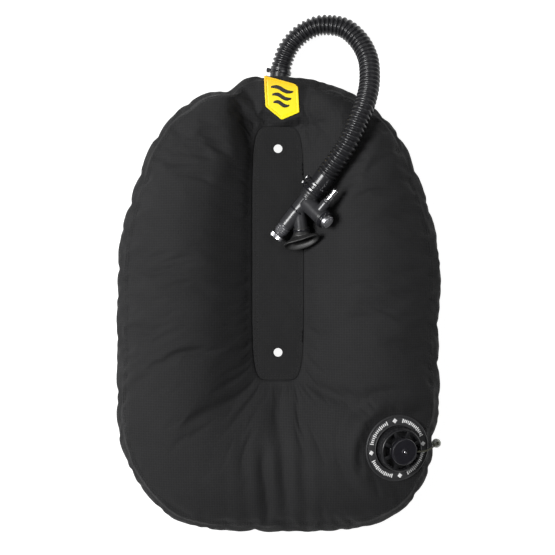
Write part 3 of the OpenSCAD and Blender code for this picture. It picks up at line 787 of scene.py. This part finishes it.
# ---------------------------------------------------------------- sewing thread
def stitches(name, line, normals, length, gap, radius, body="wing"):
    """One small rounded loop of thread for each stitch along a line (mm)."""
    line = np.array(line, float)
    seg = np.linalg.norm(np.diff(line, axis=0), axis=1)
    s = np.concatenate([[0], np.cumsum(seg)])
    at = np.arange(gap * 0.5, s[-1] - length, length + gap)
    shapes = []
    for a0 in at:
        ends = [np.array([np.interp(q, s, line[:, k]) for k in range(3)]) for q in (a0, a0 + length)]
        nn = Vector([np.interp(a0, s, np.array(normals)[:, k]) for k in range(3)]).normalized()
        d = Vector(ends[1] - ends[0]).normalized()
        side = d.cross(nn).normalized()
        pts = []
        for u, r, lift in ((0, 0.25, -0.5), (0.12, 0.85, 0.1), (0.5, 1.0, 0.35), (0.88, 0.85, 0.1),
                           (1, 0.25, -0.5)):
            c = Vector(ends[0]) + d * length * u + nn * radius * lift
            for k in range(6):
                q = k * math.pi / 3
                pts.append(tuple(c + (side * math.cos(q) + nn * math.sin(q)) * radius * r))
        fs = grid_faces(5, 6) + [tuple(range(6)), tuple(24 + k for k in reversed(range(6)))]
        shapes.append((pts, fs))
    pts, fs = join_shapes(*shapes)
    ob = put(name, (pts, fs), Matrix(), "thread")
    return settle(ob, body)


def draped(line, lift=0.15, side=1):
    pts, nrm = [], []
    for x, y in line:
        z, n = surface(x, y, side)
        if z is None:
            continue
        pts.append((x, y, z + lift * side))
        nrm.append(tuple(n))
    return pts, nrm


for k, inset in enumerate((3.2, 6.4)):
    line = []
    for c in range(COLS + 1):
        p = seam_xy[c % COLS] + out_dir[c % COLS] * (wob_in[c % COLS] - inset)
        if math.hypot(p[0] - 217, p[1] + 265) > 14:
            line.append(p)
    pts, nrm = draped(line)
    stitches("seam_stitch_%d" % (k + 1), pts, nrm, 3.0, 1.3, 0.35)


# ---------------------------------------------------------------- flat sewn pieces
def offset_line(line, d):
    """Closed outline moved inwards by d."""
    out = []
    n = len(line)
    area = sum(line[i][0] * line[(i + 1) % n][1] - line[(i + 1) % n][0] * line[i][1] for i in range(n))
    sg = 1 if area > 0 else -1
    for i in range(n):
        a, b = Vector(line[i - 1]), Vector(line[(i + 1) % n])
        t = (b - a).normalized()
        out.append((line[i][0] - t.y * d * sg, line[i][1] + t.x * d * sg))
    return out


def dense(line, step):
    out = []
    n = len(line)
    for i in range(n):
        a, b = Vector(line[i]), Vector(line[(i + 1) % n])
        k = max(1, int((b - a).length / step))
        out += [tuple(a.lerp(b, j / k)) for j in range(k)]
    return out


def round_corners(line, r, steps=5):
    out = []
    n = len(line)
    for i in range(n):
        p0, p, p1 = Vector(line[i - 1]), Vector(line[i]), Vector(line[(i + 1) % n])
        a, b = p0 - p, p1 - p
        q = min(r, a.length * 0.4, b.length * 0.4)
        s, e = p + a.normalized() * q, p + b.normalized() * q
        for k in range(steps + 1):
            u = k / steps
            out.append(tuple(s * (1 - u) ** 2 + p * 2 * u * (1 - u) + e * u ** 2))
    return out


def plate(name, outline, holes, spacing, top, bottom, mat, edge=0.8, rings=(0.12, 0.35, 0.7, 1.2)):
    """Sheet between two height functions, top(x, y, d) and bottom(x, y), where d is the distance to its edge."""
    loops = [outline] + holes
    verts, edges = [], []
    for lp in loops:
        o = len(verts)
        verts += [Vector(p) for p in lp]
        edges += [(o + i, o + (i + 1) % len(lp)) for i in range(len(lp))]
    for r in rings:
        for k, lp in enumerate(loops):
            verts += [Vector(p) for p in offset_line(lp, r if k == 0 else -r)]
    segs = [(np.array(lp[i], float), np.array(lp[(i + 1) % len(lp)], float)) for lp in loops
            for i in range(len(lp))]
    sa = np.array([s[0] for s in segs])
    sd = np.array([s[1] - s[0] for s in segs])
    sl = np.maximum((sd ** 2).sum(1), 1e-12)

    def dist(x, y):
        v = np.array([x, y]) - sa
        t = np.clip((v * sd).sum(1) / sl, 0, 1)
        return float(np.sqrt(((v - sd * t[:, None]) ** 2).sum(1).min()))

    xs = [p[0] for p in outline]
    ys = [p[1] for p in outline]

    def inside(x, y, lp):
        hit = False
        for i in range(len(lp)):
            (x0, y0), (x1, y1) = lp[i], lp[(i + 1) % len(lp)]
            if (y0 > y) != (y1 > y) and x < (x1 - x0) * (y - y0) / (y1 - y0) + x0:
                hit = not hit
        return hit

    y = min(ys) + spacing / 2
    odd = 0
    while y < max(ys):
        x = min(xs) + spacing / 2 * (1 + odd)
        while x < max(xs):
            if inside(x, y, outline) and not any(inside(x, y, h) for h in holes) and dist(x,
                    y) > max(rings) + spacing * 0.4:
                verts.append(Vector((x, y)))
            x += spacing
        y += spacing * 0.87
        odd = 1 - odd
    vo, _, fo = delaunay_2d_cdt(verts, edges, [], 1, 1e-5, False)[:3]
    keep = []
    for f in fo:
        cx, cy = sum(vo[i].x for i in f) / 3, sum(vo[i].y for i in f) / 3
        if inside(cx, cy, outline) and not any(inside(cx, cy, h) for h in holes):
            keep.append(tuple(f))
    n = len(vo)
    pts = []
    for v in vo:
        d = dist(v.x, v.y)
        drop = edge * (1 - math.sqrt(max(0, 1 - (1 - min(1, d / edge)) ** 2))) if edge else 0
        pts.append((v.x, v.y, top(v.x, v.y, d) - drop))
    for v in vo:
        pts.append((v.x, v.y, bottom(v.x, v.y)))
    faces = keep + [tuple(n + i for i in reversed(f)) for f in keep]
    used = {}
    for f in keep:
        for i in range(3):
            e = (f[i], f[(i + 1) % 3])
            used[e] = used.get(e, 0) + 1
    for a, b in used:
        if (b, a) not in used:
            faces.append((b, a, n + a, n + b))
    return put(name, (pts, faces), Matrix(), mat)


# centre panel, with its bolt holes and the pressed edges round them
BOLT_Y = 139.7
panel_line = dense([(float(p[0]) * 1.02, -4 + (float(p[1]) + 4) * 1.004)
                    for p in inner_xy(np.linspace(0, 2 * np.pi, 121)[:-1])], 3.5)
hole_lines = [[(6 * math.cos(2 * math.pi * k / 40), sy * BOLT_Y + 6 * math.sin(2 * math.pi * k / 40))
               for k in range(40)]
              for sy in (1, -1)]


def panel_top(x, y, d):
    hole = min(math.hypot(x, y - BOLT_Y), math.hypot(x, y + BOLT_Y))
    welt = 0.35 * math.exp(-((hole - 8.2) / 1.0) ** 2)
    channel = -0.3 * math.exp(-((d - 3.4) / 0.7) ** 2) - 0.3 * math.exp(-((d - 7.0) / 0.7) ** 2)
    ripple = 0.3 * math.sin(y / 17 + 0.6 * math.sin(x / 9)) * math.sin(x / 13 + 1 + y / 60)
    away = min(1, max(0, (hole - 8) / 8))
    return -0.32 + (ripple + channel) * away + welt - 0.3 * (1 - away)


panel = plate("centre_panel_fabric", panel_line, hole_lines, 3.2, panel_top, lambda x, y: -5.9, "panel")
settle(panel, "wing", ["centre_panel"])
for k, inset in enumerate((3.4, 7.0)):
    line = offset_line(panel_line, inset)
    line.append(line[0])
    stitches("panel_stitch_%d" % (k + 1), [(x, y, panel_top(x, y, inset) + 0.1) for x, y in line],
             [(0, 0, 1)] * len(line), 2.9, 1.2, 0.32)
for k, sy in enumerate((1, -1)):
    line = [(9.8 * math.cos(2 * math.pi * q / 40), sy * BOLT_Y + 9.8 * math.sin(2 * math.pi * q / 40))
            for q in range(41)]
    stitches("bolt_hole_stitch_%d" % (k + 1), [(x, y, panel_top(x, y, 20) + 0.1) for x, y in line],
             [(0, 0, 1)] * 41, 1.9, 0.7, 0.28)

# label: moulded rubber badge with a raised rim, and a generic mark of three waves
label_line = dense(round_corners(LABEL, 2.0), 1.2)
SLOPE = math.tan(math.radians(8.5))


def label_top(x, y, d):
    rim = 0.55 * (1 - smooth(d, 2.3, 2.9))
    groove = -0.25 * math.exp(-((d - 3.3) / 0.4) ** 2)
    return label_plane(y) + 1.15 + float(rim) + groove


badge = plate("label_badge", label_line, [], 1.6, label_top, lambda x, y: label_plane(y) - 0.3, "yellow",
              edge=0.5,
              rings=(0.1, 0.3, 0.6, 1.4, 2.1, 2.4, 2.7, 3.0, 3.3, 3.6))
settle(badge, "wing", ["name_patch"])
bars = []
for k in range(3):
    cx, cy, w = 5.5 - k * 0.5, 217.5 - 9.6 * k, 15.5 - 2.2 * k
    line_t, line_b = [], []
    for q in range(25):
        u = q / 24
        x = -w + 2 * w * u
        mid = 1.7 * math.sin(u * 2 * math.pi * 1.0)
        half = 2.7 * (math.sin(math.pi * (0.06 + 0.88 * u)) ** 0.5)
        tilt = -0.21
        for lst, sg in ((line_t, 1), (line_b, -1)):
            px, py = x, mid + sg * half
            lst.append((cx + px * math.cos(tilt) - py * math.sin(tilt),
                        cy + px * math.sin(tilt) + py * math.cos(tilt)))
    bars.append(line_b + line_t[::-1])
for k, bar in enumerate(bars):
    m = plate("label_wave_%d" % (k + 1), bar, [], 1.4, lambda x, y, d: label_plane(y) + 1.5, lambda x,
              y: label_plane(y) + 0.9,
              "mark", edge=0.2, rings=(0.2,))
    settle(m, "wing", ["patch_mark"] if k == 0 else [])
line = offset_line(label_line, 3.3)
line.append(line[0])
lab_st = stitches("label_stitch", [(x, y, label_plane(y) + 1.0) for x, y in line],
                  [(0, -SLOPE, 1)] * len(line), 2.2, 0.9, 0.25)
lab_st.data.materials[0] = M["yellow_rim"]

# ---------------------------------------------------------------- inner bladder film
def film(name, keep, nodes):
    """A thin closed layer under the skin, from the rows and columns where keep says so."""
    use = np.nonzero(keep)[0]
    index = {int(v): k for k, v in enumerate(use)}
    fs = [f for f in faces if all(i in index for i in f)]
    n = len(use)
    outer = new[use] - base_normals[use] * 3.2
    inner = new[use] - base_normals[use] * 4.0
    fs = [tuple(index[i] for i in f) for f in fs]
    used = {}
    for f in fs:
        for i in range(4):
            used[(f[i], f[(i + 1) % 4])] = 1
    walls = [(b, a, n + a, n + b) for a, b in used if (b, a) not in used]
    both = fs + [tuple(n + i for i in reversed(f)) for f in fs] + walls
    ob = put(name, (np.concatenate([outer, inner]).tolist(), both), Matrix(), "film")
    return settle(ob, "wing", nodes)


kind_row = np.array([k[0] for k in kind])
s_row = np.array([k[1] for k in kind])
rr_all = np.arange(len(rest)) // COLS
mid_rows = (s_row > 0.07) & (s_row < 0.8)
far_dump = np.hypot(rest[:, 0] - DUMP_C[0], rest[:, 1] - DUMP_C[1]) > 33
far_elbow = np.hypot(rest[:, 0] + 6, rest[:, 1] - 196) > 27
film("bladder_front_film", (kind_row == "front")[rr_all] & mid_rows[rr_all] & far_dump,
     ["bladder_front_sheet"])
film("bladder_back_film", (kind_row == "back")[rr_all] & mid_rows[rr_all] & far_elbow, ["bladder_back_sheet"])


# ---------------------------------------------------------------- dump valve
def flutes(count, depth, r_min, power=2):
    def f(a, r, z):
        return r - depth * abs(math.cos(a * count / 2)) ** power if r > r_min else r
    return f


def ring_piece(name, profile, frame_m, mat, body, nodes=(), seg=96, r=0.3, flute=None, angle=40):
    ob = put(name, lathe(rounded(profile, r), seg, flute), frame_m, mat, angle)
    return settle(ob, body, nodes)


ring_piece("dump_valve_ring", [(31.2, -0.7), (45, -0.7), (45, 0.8), (44.3, 1.9), (43.2, 1.9), (42.7, 0.6),
                               (41.9, 0.6),
                               (41.4, 1.4), (33.4, 1.4), (32.8, 1.05), (32.3, 1.05), (31.8, 1.5), (31.2,
                                       1.5)],
           DUMP, "ring", "wing", ["dump_ring"], 128, 0.2)
MARK_RADIUS = 37.6
marks = []
for q in range(4):
    a0 = q * 90 + 6
    sq = block(-3.1, 3.1, -3.1, 3.1, 1.3, 1.62, 0.1)
    marks.append(moved(sq, rot("Z", a0) @ shift(MARK_RADIUS, 0, 0) @ rot("Z", 45)
                       @ Matrix.Diagonal((0.8, 0.8, 1, 1))))
    for k in range(14):
        a = a0 + 18 + k * 54 / 13
        long = 2.7 if k in (0, 4, 9, 13) else 1.9
        marks.append(moved(block(-long, long, -0.8, 0.8, 1.3, 1.6, 0.08),
                           rot("Z", a) @ shift(MARK_RADIUS, 0, 0)))
settle(put("dump_ring_scale", join_shapes(*marks), DUMP, "white"), "wing", ["dump_marks"])

ring_piece("dump_valve_housing",
           [(23, 1.8), (29.5, 1.8), (29.5, 4), (29.5, 8), (29.5, 11.4), (26.2, 11.4), (26.2, 6), (23, 6)],
           DUMP, "valve", "wing", ["dump_housing"], 216, 0.35, flutes(36, 0.7, 29.3))
cap_parts = [lathe(rounded([(25.9, 11.6), (29.2, 11.6), (29.2, 14.8), (28.3, 16.9), (27.4, 17.5),
                            (26.2, 17.3), (25.9, 16.2)],
                           0.4), 128)]
cap_parts.append(lathe(rounded([(2.7, 15.5), (16.6, 15.5), (17.2, 16.2), (16.6, 17.2), (12, 17.45),
                                (4, 17.45), (2.7, 17.1)], 0.3), 96))
for k in range(8):
    m = rot("Z", k * 45 + 22.5)
    cap_parts.append(moved(block(16, 26.6, -2.4, 2.4, 15.2, 17.2, 0.6), m))
    cap_parts.append(moved(block(25.0, 26.9, -1.1, 1.1, 12.2, 16.6, 0.5), rot("Z", k * 45)))
    cap_parts.append(moved(block(24.6, 26.9, -0.9, 0.9, 12.2, 16.0, 0.5), rot("Z", k * 45 + 11)))
    cap_parts.append(moved(block(24.6, 26.9, -0.9, 0.9, 12.2, 16.0, 0.5), rot("Z", k * 45 - 11)))
settle(put("dump_valve_cap", join_shapes(*cap_parts), DUMP, "valve", 40), "wing",
       ["dump_cap"])
ring_piece("dump_pull_knob", [(0, 22), (16.9, 22), (17.8, 22.7), (18, 23.6), (17.9, 25.2), (17.2, 26.4),
                              (16.2, 26.75),
                              (15.4, 26.2), (10, 26.45), (5.4, 26.3), (4.6, 26.4), (4.1, 27.5), (3.2,
                                      27.8), (2.2, 27.75),
                              (1.7, 27.2), (1.6, 24.8), (0, 24.8)],
           DUMP, "knob", "dump_pull", ["dump_knob"], 96, 0.3)
ring_piece("dump_knob_pin", [(0, 24.9), (1.45, 24.9), (1.45, 27.8), (1.0, 28.2), (0, 28.3)],
           DUMP, "chrome", "dump_pull", (), 32, 0.15)


# ---------------------------------------------------------------- inflator
def xaxis(x=0, y=0, z=0):
    return INFL @ shift(x, y, z) @ rot("Y", 90)


BLOCK = INFL @ shift(15.3, 0, 0) @ rot("X", 27 - 90)


def copy_of(node, name, mat):
    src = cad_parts[node]
    me = src.data.copy()
    ob = bpy.data.objects.new(name, me)
    scene.collection.objects.link(ob)
    me.transform(src.matrix_world)
    me.materials.clear()
    me.materials.append(M[mat])
    return ob


def remould(node, name, mat, body, voxel, smooth_steps):
    """Copy of a hard solid with moulded, softened edges."""
    ob = copy_of(node, name, mat)
    weld = ob.modifiers.new("weld", "WELD")
    weld.merge_threshold = 1e-5
    rem = ob.modifiers.new("remesh", "REMESH")
    rem.mode = "VOXEL"
    rem.voxel_size = voxel * MM
    sm = ob.modifiers.new("smooth", "SMOOTH")
    sm.factor = 0.5
    sm.iterations = smooth_steps
    bake(ob)
    dress(ob, mat)
    return settle(ob, body, [node])


def bevelled(node, name, mat, body, width=0.3):
    """Copy of a hard solid with rounded edges."""
    ob = copy_of(node, name, mat)
    bm = bmesh.new()
    bm.from_mesh(ob.data)
    bmesh.ops.remove_doubles(bm, verts=bm.verts, dist=1e-5)
    bmesh.ops.dissolve_limit(bm, angle_limit=math.radians(1.5), verts=bm.verts, edges=bm.edges)
    bmesh.ops.recalc_face_normals(bm, faces=bm.faces)
    bm.to_mesh(ob.data)
    bm.free()
    bev = ob.modifiers.new("bevel", "BEVEL")
    bev.width = width * MM
    bev.segments = 2
    bev.limit_method = "ANGLE"
    bev.angle_limit = math.radians(35)
    bev.use_clamp_overlap = True
    bake(ob)
    dress(ob, mat)
    crisp(ob, 38)
    return settle(ob, body, [node])


remould("inflator_body", "inflator_moulding", "satin", "wing", 0.6, 3)
ring_piece("inflator_shoulder",
           [(11.9, 0.4), (13.4, 0.4), (13.6, 1.2), (13.4, 3.4), (12.7, 4.2), (12.5, 5.4), (12.9, 5.9),
                                 (12.9, 7.4), (12.3, 8.0), (12.2, 9.6), (11.9, 10.6), (11.3, 10.8), (11.3,
                                         0.8)],
           xaxis(), "black", "wing", (), 96, 0.25)
ring_piece("tube_seal_ring", [(10.25, -0.3), (11.0, 0), (11.25, 0.9), (11.0, 1.8), (10.25, 2.1)],
           xaxis(31), "gloss", "wing", ["inflator_seal"], 80, 0.3)
ring_piece("valve_block_band", [(11.3, 33.4), (11.95, 33.7), (12.1, 34.6), (11.95, 35.5), (11.3, 35.8)],
           BLOCK, "black", "wing", (), 80, 0.2)
ring_piece("exhale_collar_ribbed",
           [(1.7, 66), (7.7, 66), (8.1, 66.6), (8.1, 68.1), (9.0, 68.5), (9.2, 69.2), (9.2, 71.2),
                                    (8.6, 71.6), (8.6, 72.1), (9.2, 72.5), (9.2, 74.4), (8.6, 74.8), (8.6,
                                            75.3), (9.2, 75.7),
                                    (9.1, 77.1), (7.7, 77.6), (7.5, 82.3), (6.5, 82.3), (6.5, 77.6), (1.7,
                                            77.6)],
           xaxis(-8), "collar", "wing", ["exhale_collar"], 180, 0.18, flutes(30, 0.35, 9.1,
                   4))
ring_piece("exhale_button_knurled",
           [(8.0, 81.6), (9.7, 81.6), (10.2, 82.3), (10.2, 84), (10.2, 86), (10.2, 87.2), (9.5, 88.1),
                                     (8.6, 88.3), (7.9, 87.9), (3, 88.1), (0, 88.2), (0, 86.8), (8.0, 86.8)],
           xaxis(-8), "silver", "exhale_button", ["exhale_button"], 240, 0.2, flutes(40,
                   0.45, 10.15))
ring_piece("inflate_bezel_ring",
           [(9.7, 38.1), (12.2, 38.1), (12.5, 38.8), (12.5, 41.6), (11.9, 42.7), (11.2, 43), (10.1, 42.8),
                                  (9.7, 42.2)],
           BLOCK, "gloss", "wing", ["inflate_bezel"], 120, 0.3, flutes(24, 0.3, 12.4, 4))
btn = [lathe(rounded([(8.0, 36.6), (9.7, 36.6), (9.7, 37.6), (9.45, 38), (9.45, 47.2), (8.7, 48.2),
                      (7.9, 48.3), (7.3, 47.7),
                      (0, 47.75), (0, 44.6), (8.0, 44.6)], 0.25), 96)]
for i in range(-4, 5):
    for j in range(-4, 5):
        x, y = 1.75 * (i + 0.5 * j), 1.52 * j
        if math.hypot(x, y) < 6.4:
            btn.append(moved(lathe(rounded([(0, 47.4), (0.72, 47.4), (0.68, 48.5), (0.35, 48.95), (0, 49)],
                                           0.15, 2), 10), shift(x, y, 0)))
settle(put("inflate_button_studded", join_shapes(*btn), BLOCK, "silver", 40), "inflate_button",
       ["inflate_button"])
NIPPLE = xaxis(-18, 23.5, 16.5)
nip = [(2.0, -7), (3.9, -7), (4.5, -6.2), (4.5, -2.4), (3.7, -1.9), (3.7, 0.1), (4.5, 0.6), (4.5, 1),
       (3.8, 1.6), (3.8, 3.8),
       (4.5, 4.2), (4.5, 9.6), (3.9, 10), (3.9, 21), (2.0, 21)]
ring_piece("hose_nipple", nip, NIPPLE, "chrome", "wing", ["lp_nipple"], 72, 0.15)
ring_piece("hose_nipple_hex", [(4.0, 10.1), (5.7, 10.1), (5.9, 10.6), (5.9, 13.4), (5.7, 13.9), (4.0, 13.9)],
           NIPPLE, "satin", "wing", (), 72, 0.15,
           lambda a, r, z: r * (0.89 + 0.11 * abs(math.cos(3 * a)) ** 0.5) if r > 5 else r)

# mouthpiece: a soft oval funnel, thick lipped
OUTER = [(25.2, 10.6, 10.6), (32, 11, 10.6), (40, 16, 9.5), (46, 21.5, 10.5), (49, 24.2, 12.3),
         (50.5, 24.5, 12.5)]
INNER = [(25.2, 9.12, 9.12), (32, 9.12, 9.12), (40, 13, 6.5), (46, 18.5, 7.2), (49, 21, 8.8), (50.5, 22, 10)]

MOUTH_SKEW = -0.2


def mouth_section(dist, hl, hh, sides=72):
    f = float(smooth(dist, 32, 46))
    w = 2 / (2 + 0.6 * f)
    t = math.radians(38 * f)
    x = dist - 34
    out = []
    for k in range(sides):
        a = 2 * math.pi * k / sides
        y = hl * float(sgn_pow(np.cos(a), w))
        z = hh * float(sgn_pow(np.sin(a), w))
        lip = (MOUTH_SKEW * y - 0.006 * y * y) * f
        out.append((34 + x * math.cos(t) - z * math.sin(t) + lip, y, z * math.cos(t) + x * math.sin(t)))
    return out


def sections(table):
    tab = np.array(table)
    path, _ = resample(catmull([tuple(r) for r in tab], 8), 0.9)
    return [tuple(r) for r in path]


so, si = sections(OUTER), sections(INNER)
lip_mid = [(50.9, 24.1, 12.1), (51.1, 23.3, 11.3), (50.9, 22.6, 10.6)]
band = [(25.2, 10.0, 10.0)]
loops = [mouth_section(*r) for r in so + lip_mid + si[::-1] + band]
pts = [p for lp in loops for p in lp]
mouth = (pts, grid_faces(len(loops), 72, close_rows=True))
NECK = INFL @ shift(29, 0, 0) @ rot("Z", 45)
settle(put("mouthpiece_rubber", mouth, NECK, "rubber"), "wing", ["mouthpiece"])
ring_piece("mouthpiece_clamp", [(10.5, 27.2), (11.5, 27.4), (11.7, 28), (11.7, 29.6), (11.5, 30.2),
                                (10.5, 30.4)],
           NECK @ rot("Y", 90), "gloss", "wing", (), 80, 0.25)


# ---------------------------------------------------------------- cable ties
def tie_shape(d):
    """Ribbed strap with its locking head, stub and slot; d is its place along the hose."""
    strap = lathe(rounded([(14.45, -2.2), (15.35, -2.2), (15.6, -1.6), (15.35, -1.2), (15.35, 1.2),
                           (15.6, 1.6), (15.35, 2.2),
                           (14.45, 2.2)], 0.15, 2), 180, flutes(60, 0.2, 15.3, 2))
    head = block(-19.3, -14.9, -3.2, 3.2, -3, 3, 0.7)
    tongue = block(-18.4, -15.8, -4.8, 4.8, -1.5, 1.5, 0.5)
    lip = block(-19.6, -18.9, -1.9, 1.9, -1.7, 1.7, 0.25)
    return moved(join_shapes(strap, head, tongue, lip), shift(0, 0, d))


ELBOW = shift(-6, 196, -27.5) @ rot("Z", -ELBOW_LEAN) @ rot("X", -90)
settle(put("elbow_tie_straps", join_shapes(tie_shape(42), tie_shape(53)), ELBOW, "gloss", 35), "wing",
       ["elbow_ties"])
settle(put("inflator_tie_straps", join_shapes(tie_shape(3.5), tie_shape(12)),
           INFL @ rot("Y", -90) @ rot("Z", 90), "gloss", 35),
       "wing", ["inflator_ties"])

# ---------------------------------------------------------------- elbow, zip and the inner fittings
remould("elbow", "elbow_moulding", "satin", "wing", 0.7, 3)
remould("elbow_ring", "elbow_ring_nut", "black", "wing", 0.5, 2)
remould("zip_slider", "zip_slider_cast", "steel", "zip_slider", 0.16, 2)
remould("zip_pull", "zip_pull_tab", "zip", "zip_pull", 0.16, 3)


def strip_face(x, y, d):
    seam = -0.12 * math.exp(-((d - 1.6) / 0.3) ** 2)
    return 6.8 + seam + 0.05 * math.sin(y * 1.9) * math.sin(x * 2.1)


tape_line = dense([(-32, -150), (-20, -150), (-20, 150), (-32, 150)], 2.5)
tape = plate("zip_tape_woven", tape_line, [], 2.0, strip_face, lambda x, y: 6.05, "tape", 0.3,
             (0.1, 0.3, 1.3, 1.6, 1.9))
tape.data.transform(Matrix.Diagonal((1, 1, -1, 1)))
tape.data.flip_normals()
settle(tape, "wing", ["zip_tape"])
for k, x in enumerate((-30.6, -21.4)):
    stitches("zip_stitch_%d" % (k + 1), [(x, y, -6.85) for y in np.linspace(-148, 148, 60)],
             [(0, 0, -1)] * 60, 2.4, 1.0, 0.25)
bevelled("zip_stops", "zip_end_stops", "steel", "wing", 0.3)

FINISH = {
    "zip_teeth": "zip", "elbow_flange": "black",
    "elbow_gasket": "rubber", "exhale_stem": "steel", "exhale_spring": "steel",
    "inflate_stem": "steel", "inflate_spring": "steel", "dump_flange": "black",
    "dump_gasket": "rubber", "dump_disc": "satin",
    "dump_spring": "steel",
}
for node, mat in FINISH.items():
    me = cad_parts[node].data
    for k in range(max(1, len(me.materials))):
        if len(me.materials) <= k:
            me.materials.append(M[mat])
        else:
            me.materials[k] = M[mat]

# ---------------------------------------------------------------- stage
t = Tree("floor_white")
grainy = t.noise(t.coords(), 60, 2)
floor_mat = t.out(t.ramp(grainy, [(0.0, (0.29, 0.29, 0.29)), (1.0, (0.31, 0.31, 0.31))]), None, None,
                  Roughness=0.9, Specular_IOR_Level=0.1, Emission_Color=(1, 1, 1, 1), Emission_Strength=0.94)
floor = make("floor", [(-3, -3, TABLE * MM), (3, -3, TABLE * MM), (3, 3, TABLE * MM), (-3, 3, TABLE * MM)],
             [(0, 1, 2, 3)], floor_mat, smooth=False)
world = bpy.data.worlds.new("studio")
scene.world = world
world.use_nodes = True
bg = next(n for n in world.node_tree.nodes if n.type == "BACKGROUND")
bg.inputs[0].default_value = (1, 1, 1, 1)
bg.inputs[1].default_value = 0.1


def lamp(name, loc, target, size, power):
    ld = bpy.data.lights.new(name, "AREA")
    ld.shape = "DISK"
    ld.size = size
    ld.energy = power
    lo = bpy.data.objects.new(name, ld)
    scene.collection.objects.link(lo)
    lo.location = loc
    lo.rotation_euler = (Vector(target) - Vector(loc)).to_track_quat("-Z", "Y").to_euler()


lamp("key_light", (-1.15, 0.1, 1.6), (0, 0, 0), 0.8, 50)
lamp("fill_light", (0.8, 0.3, 1.8), (0, 0, 0), 1.0, 6)
scene.view_settings.view_transform = "Standard"
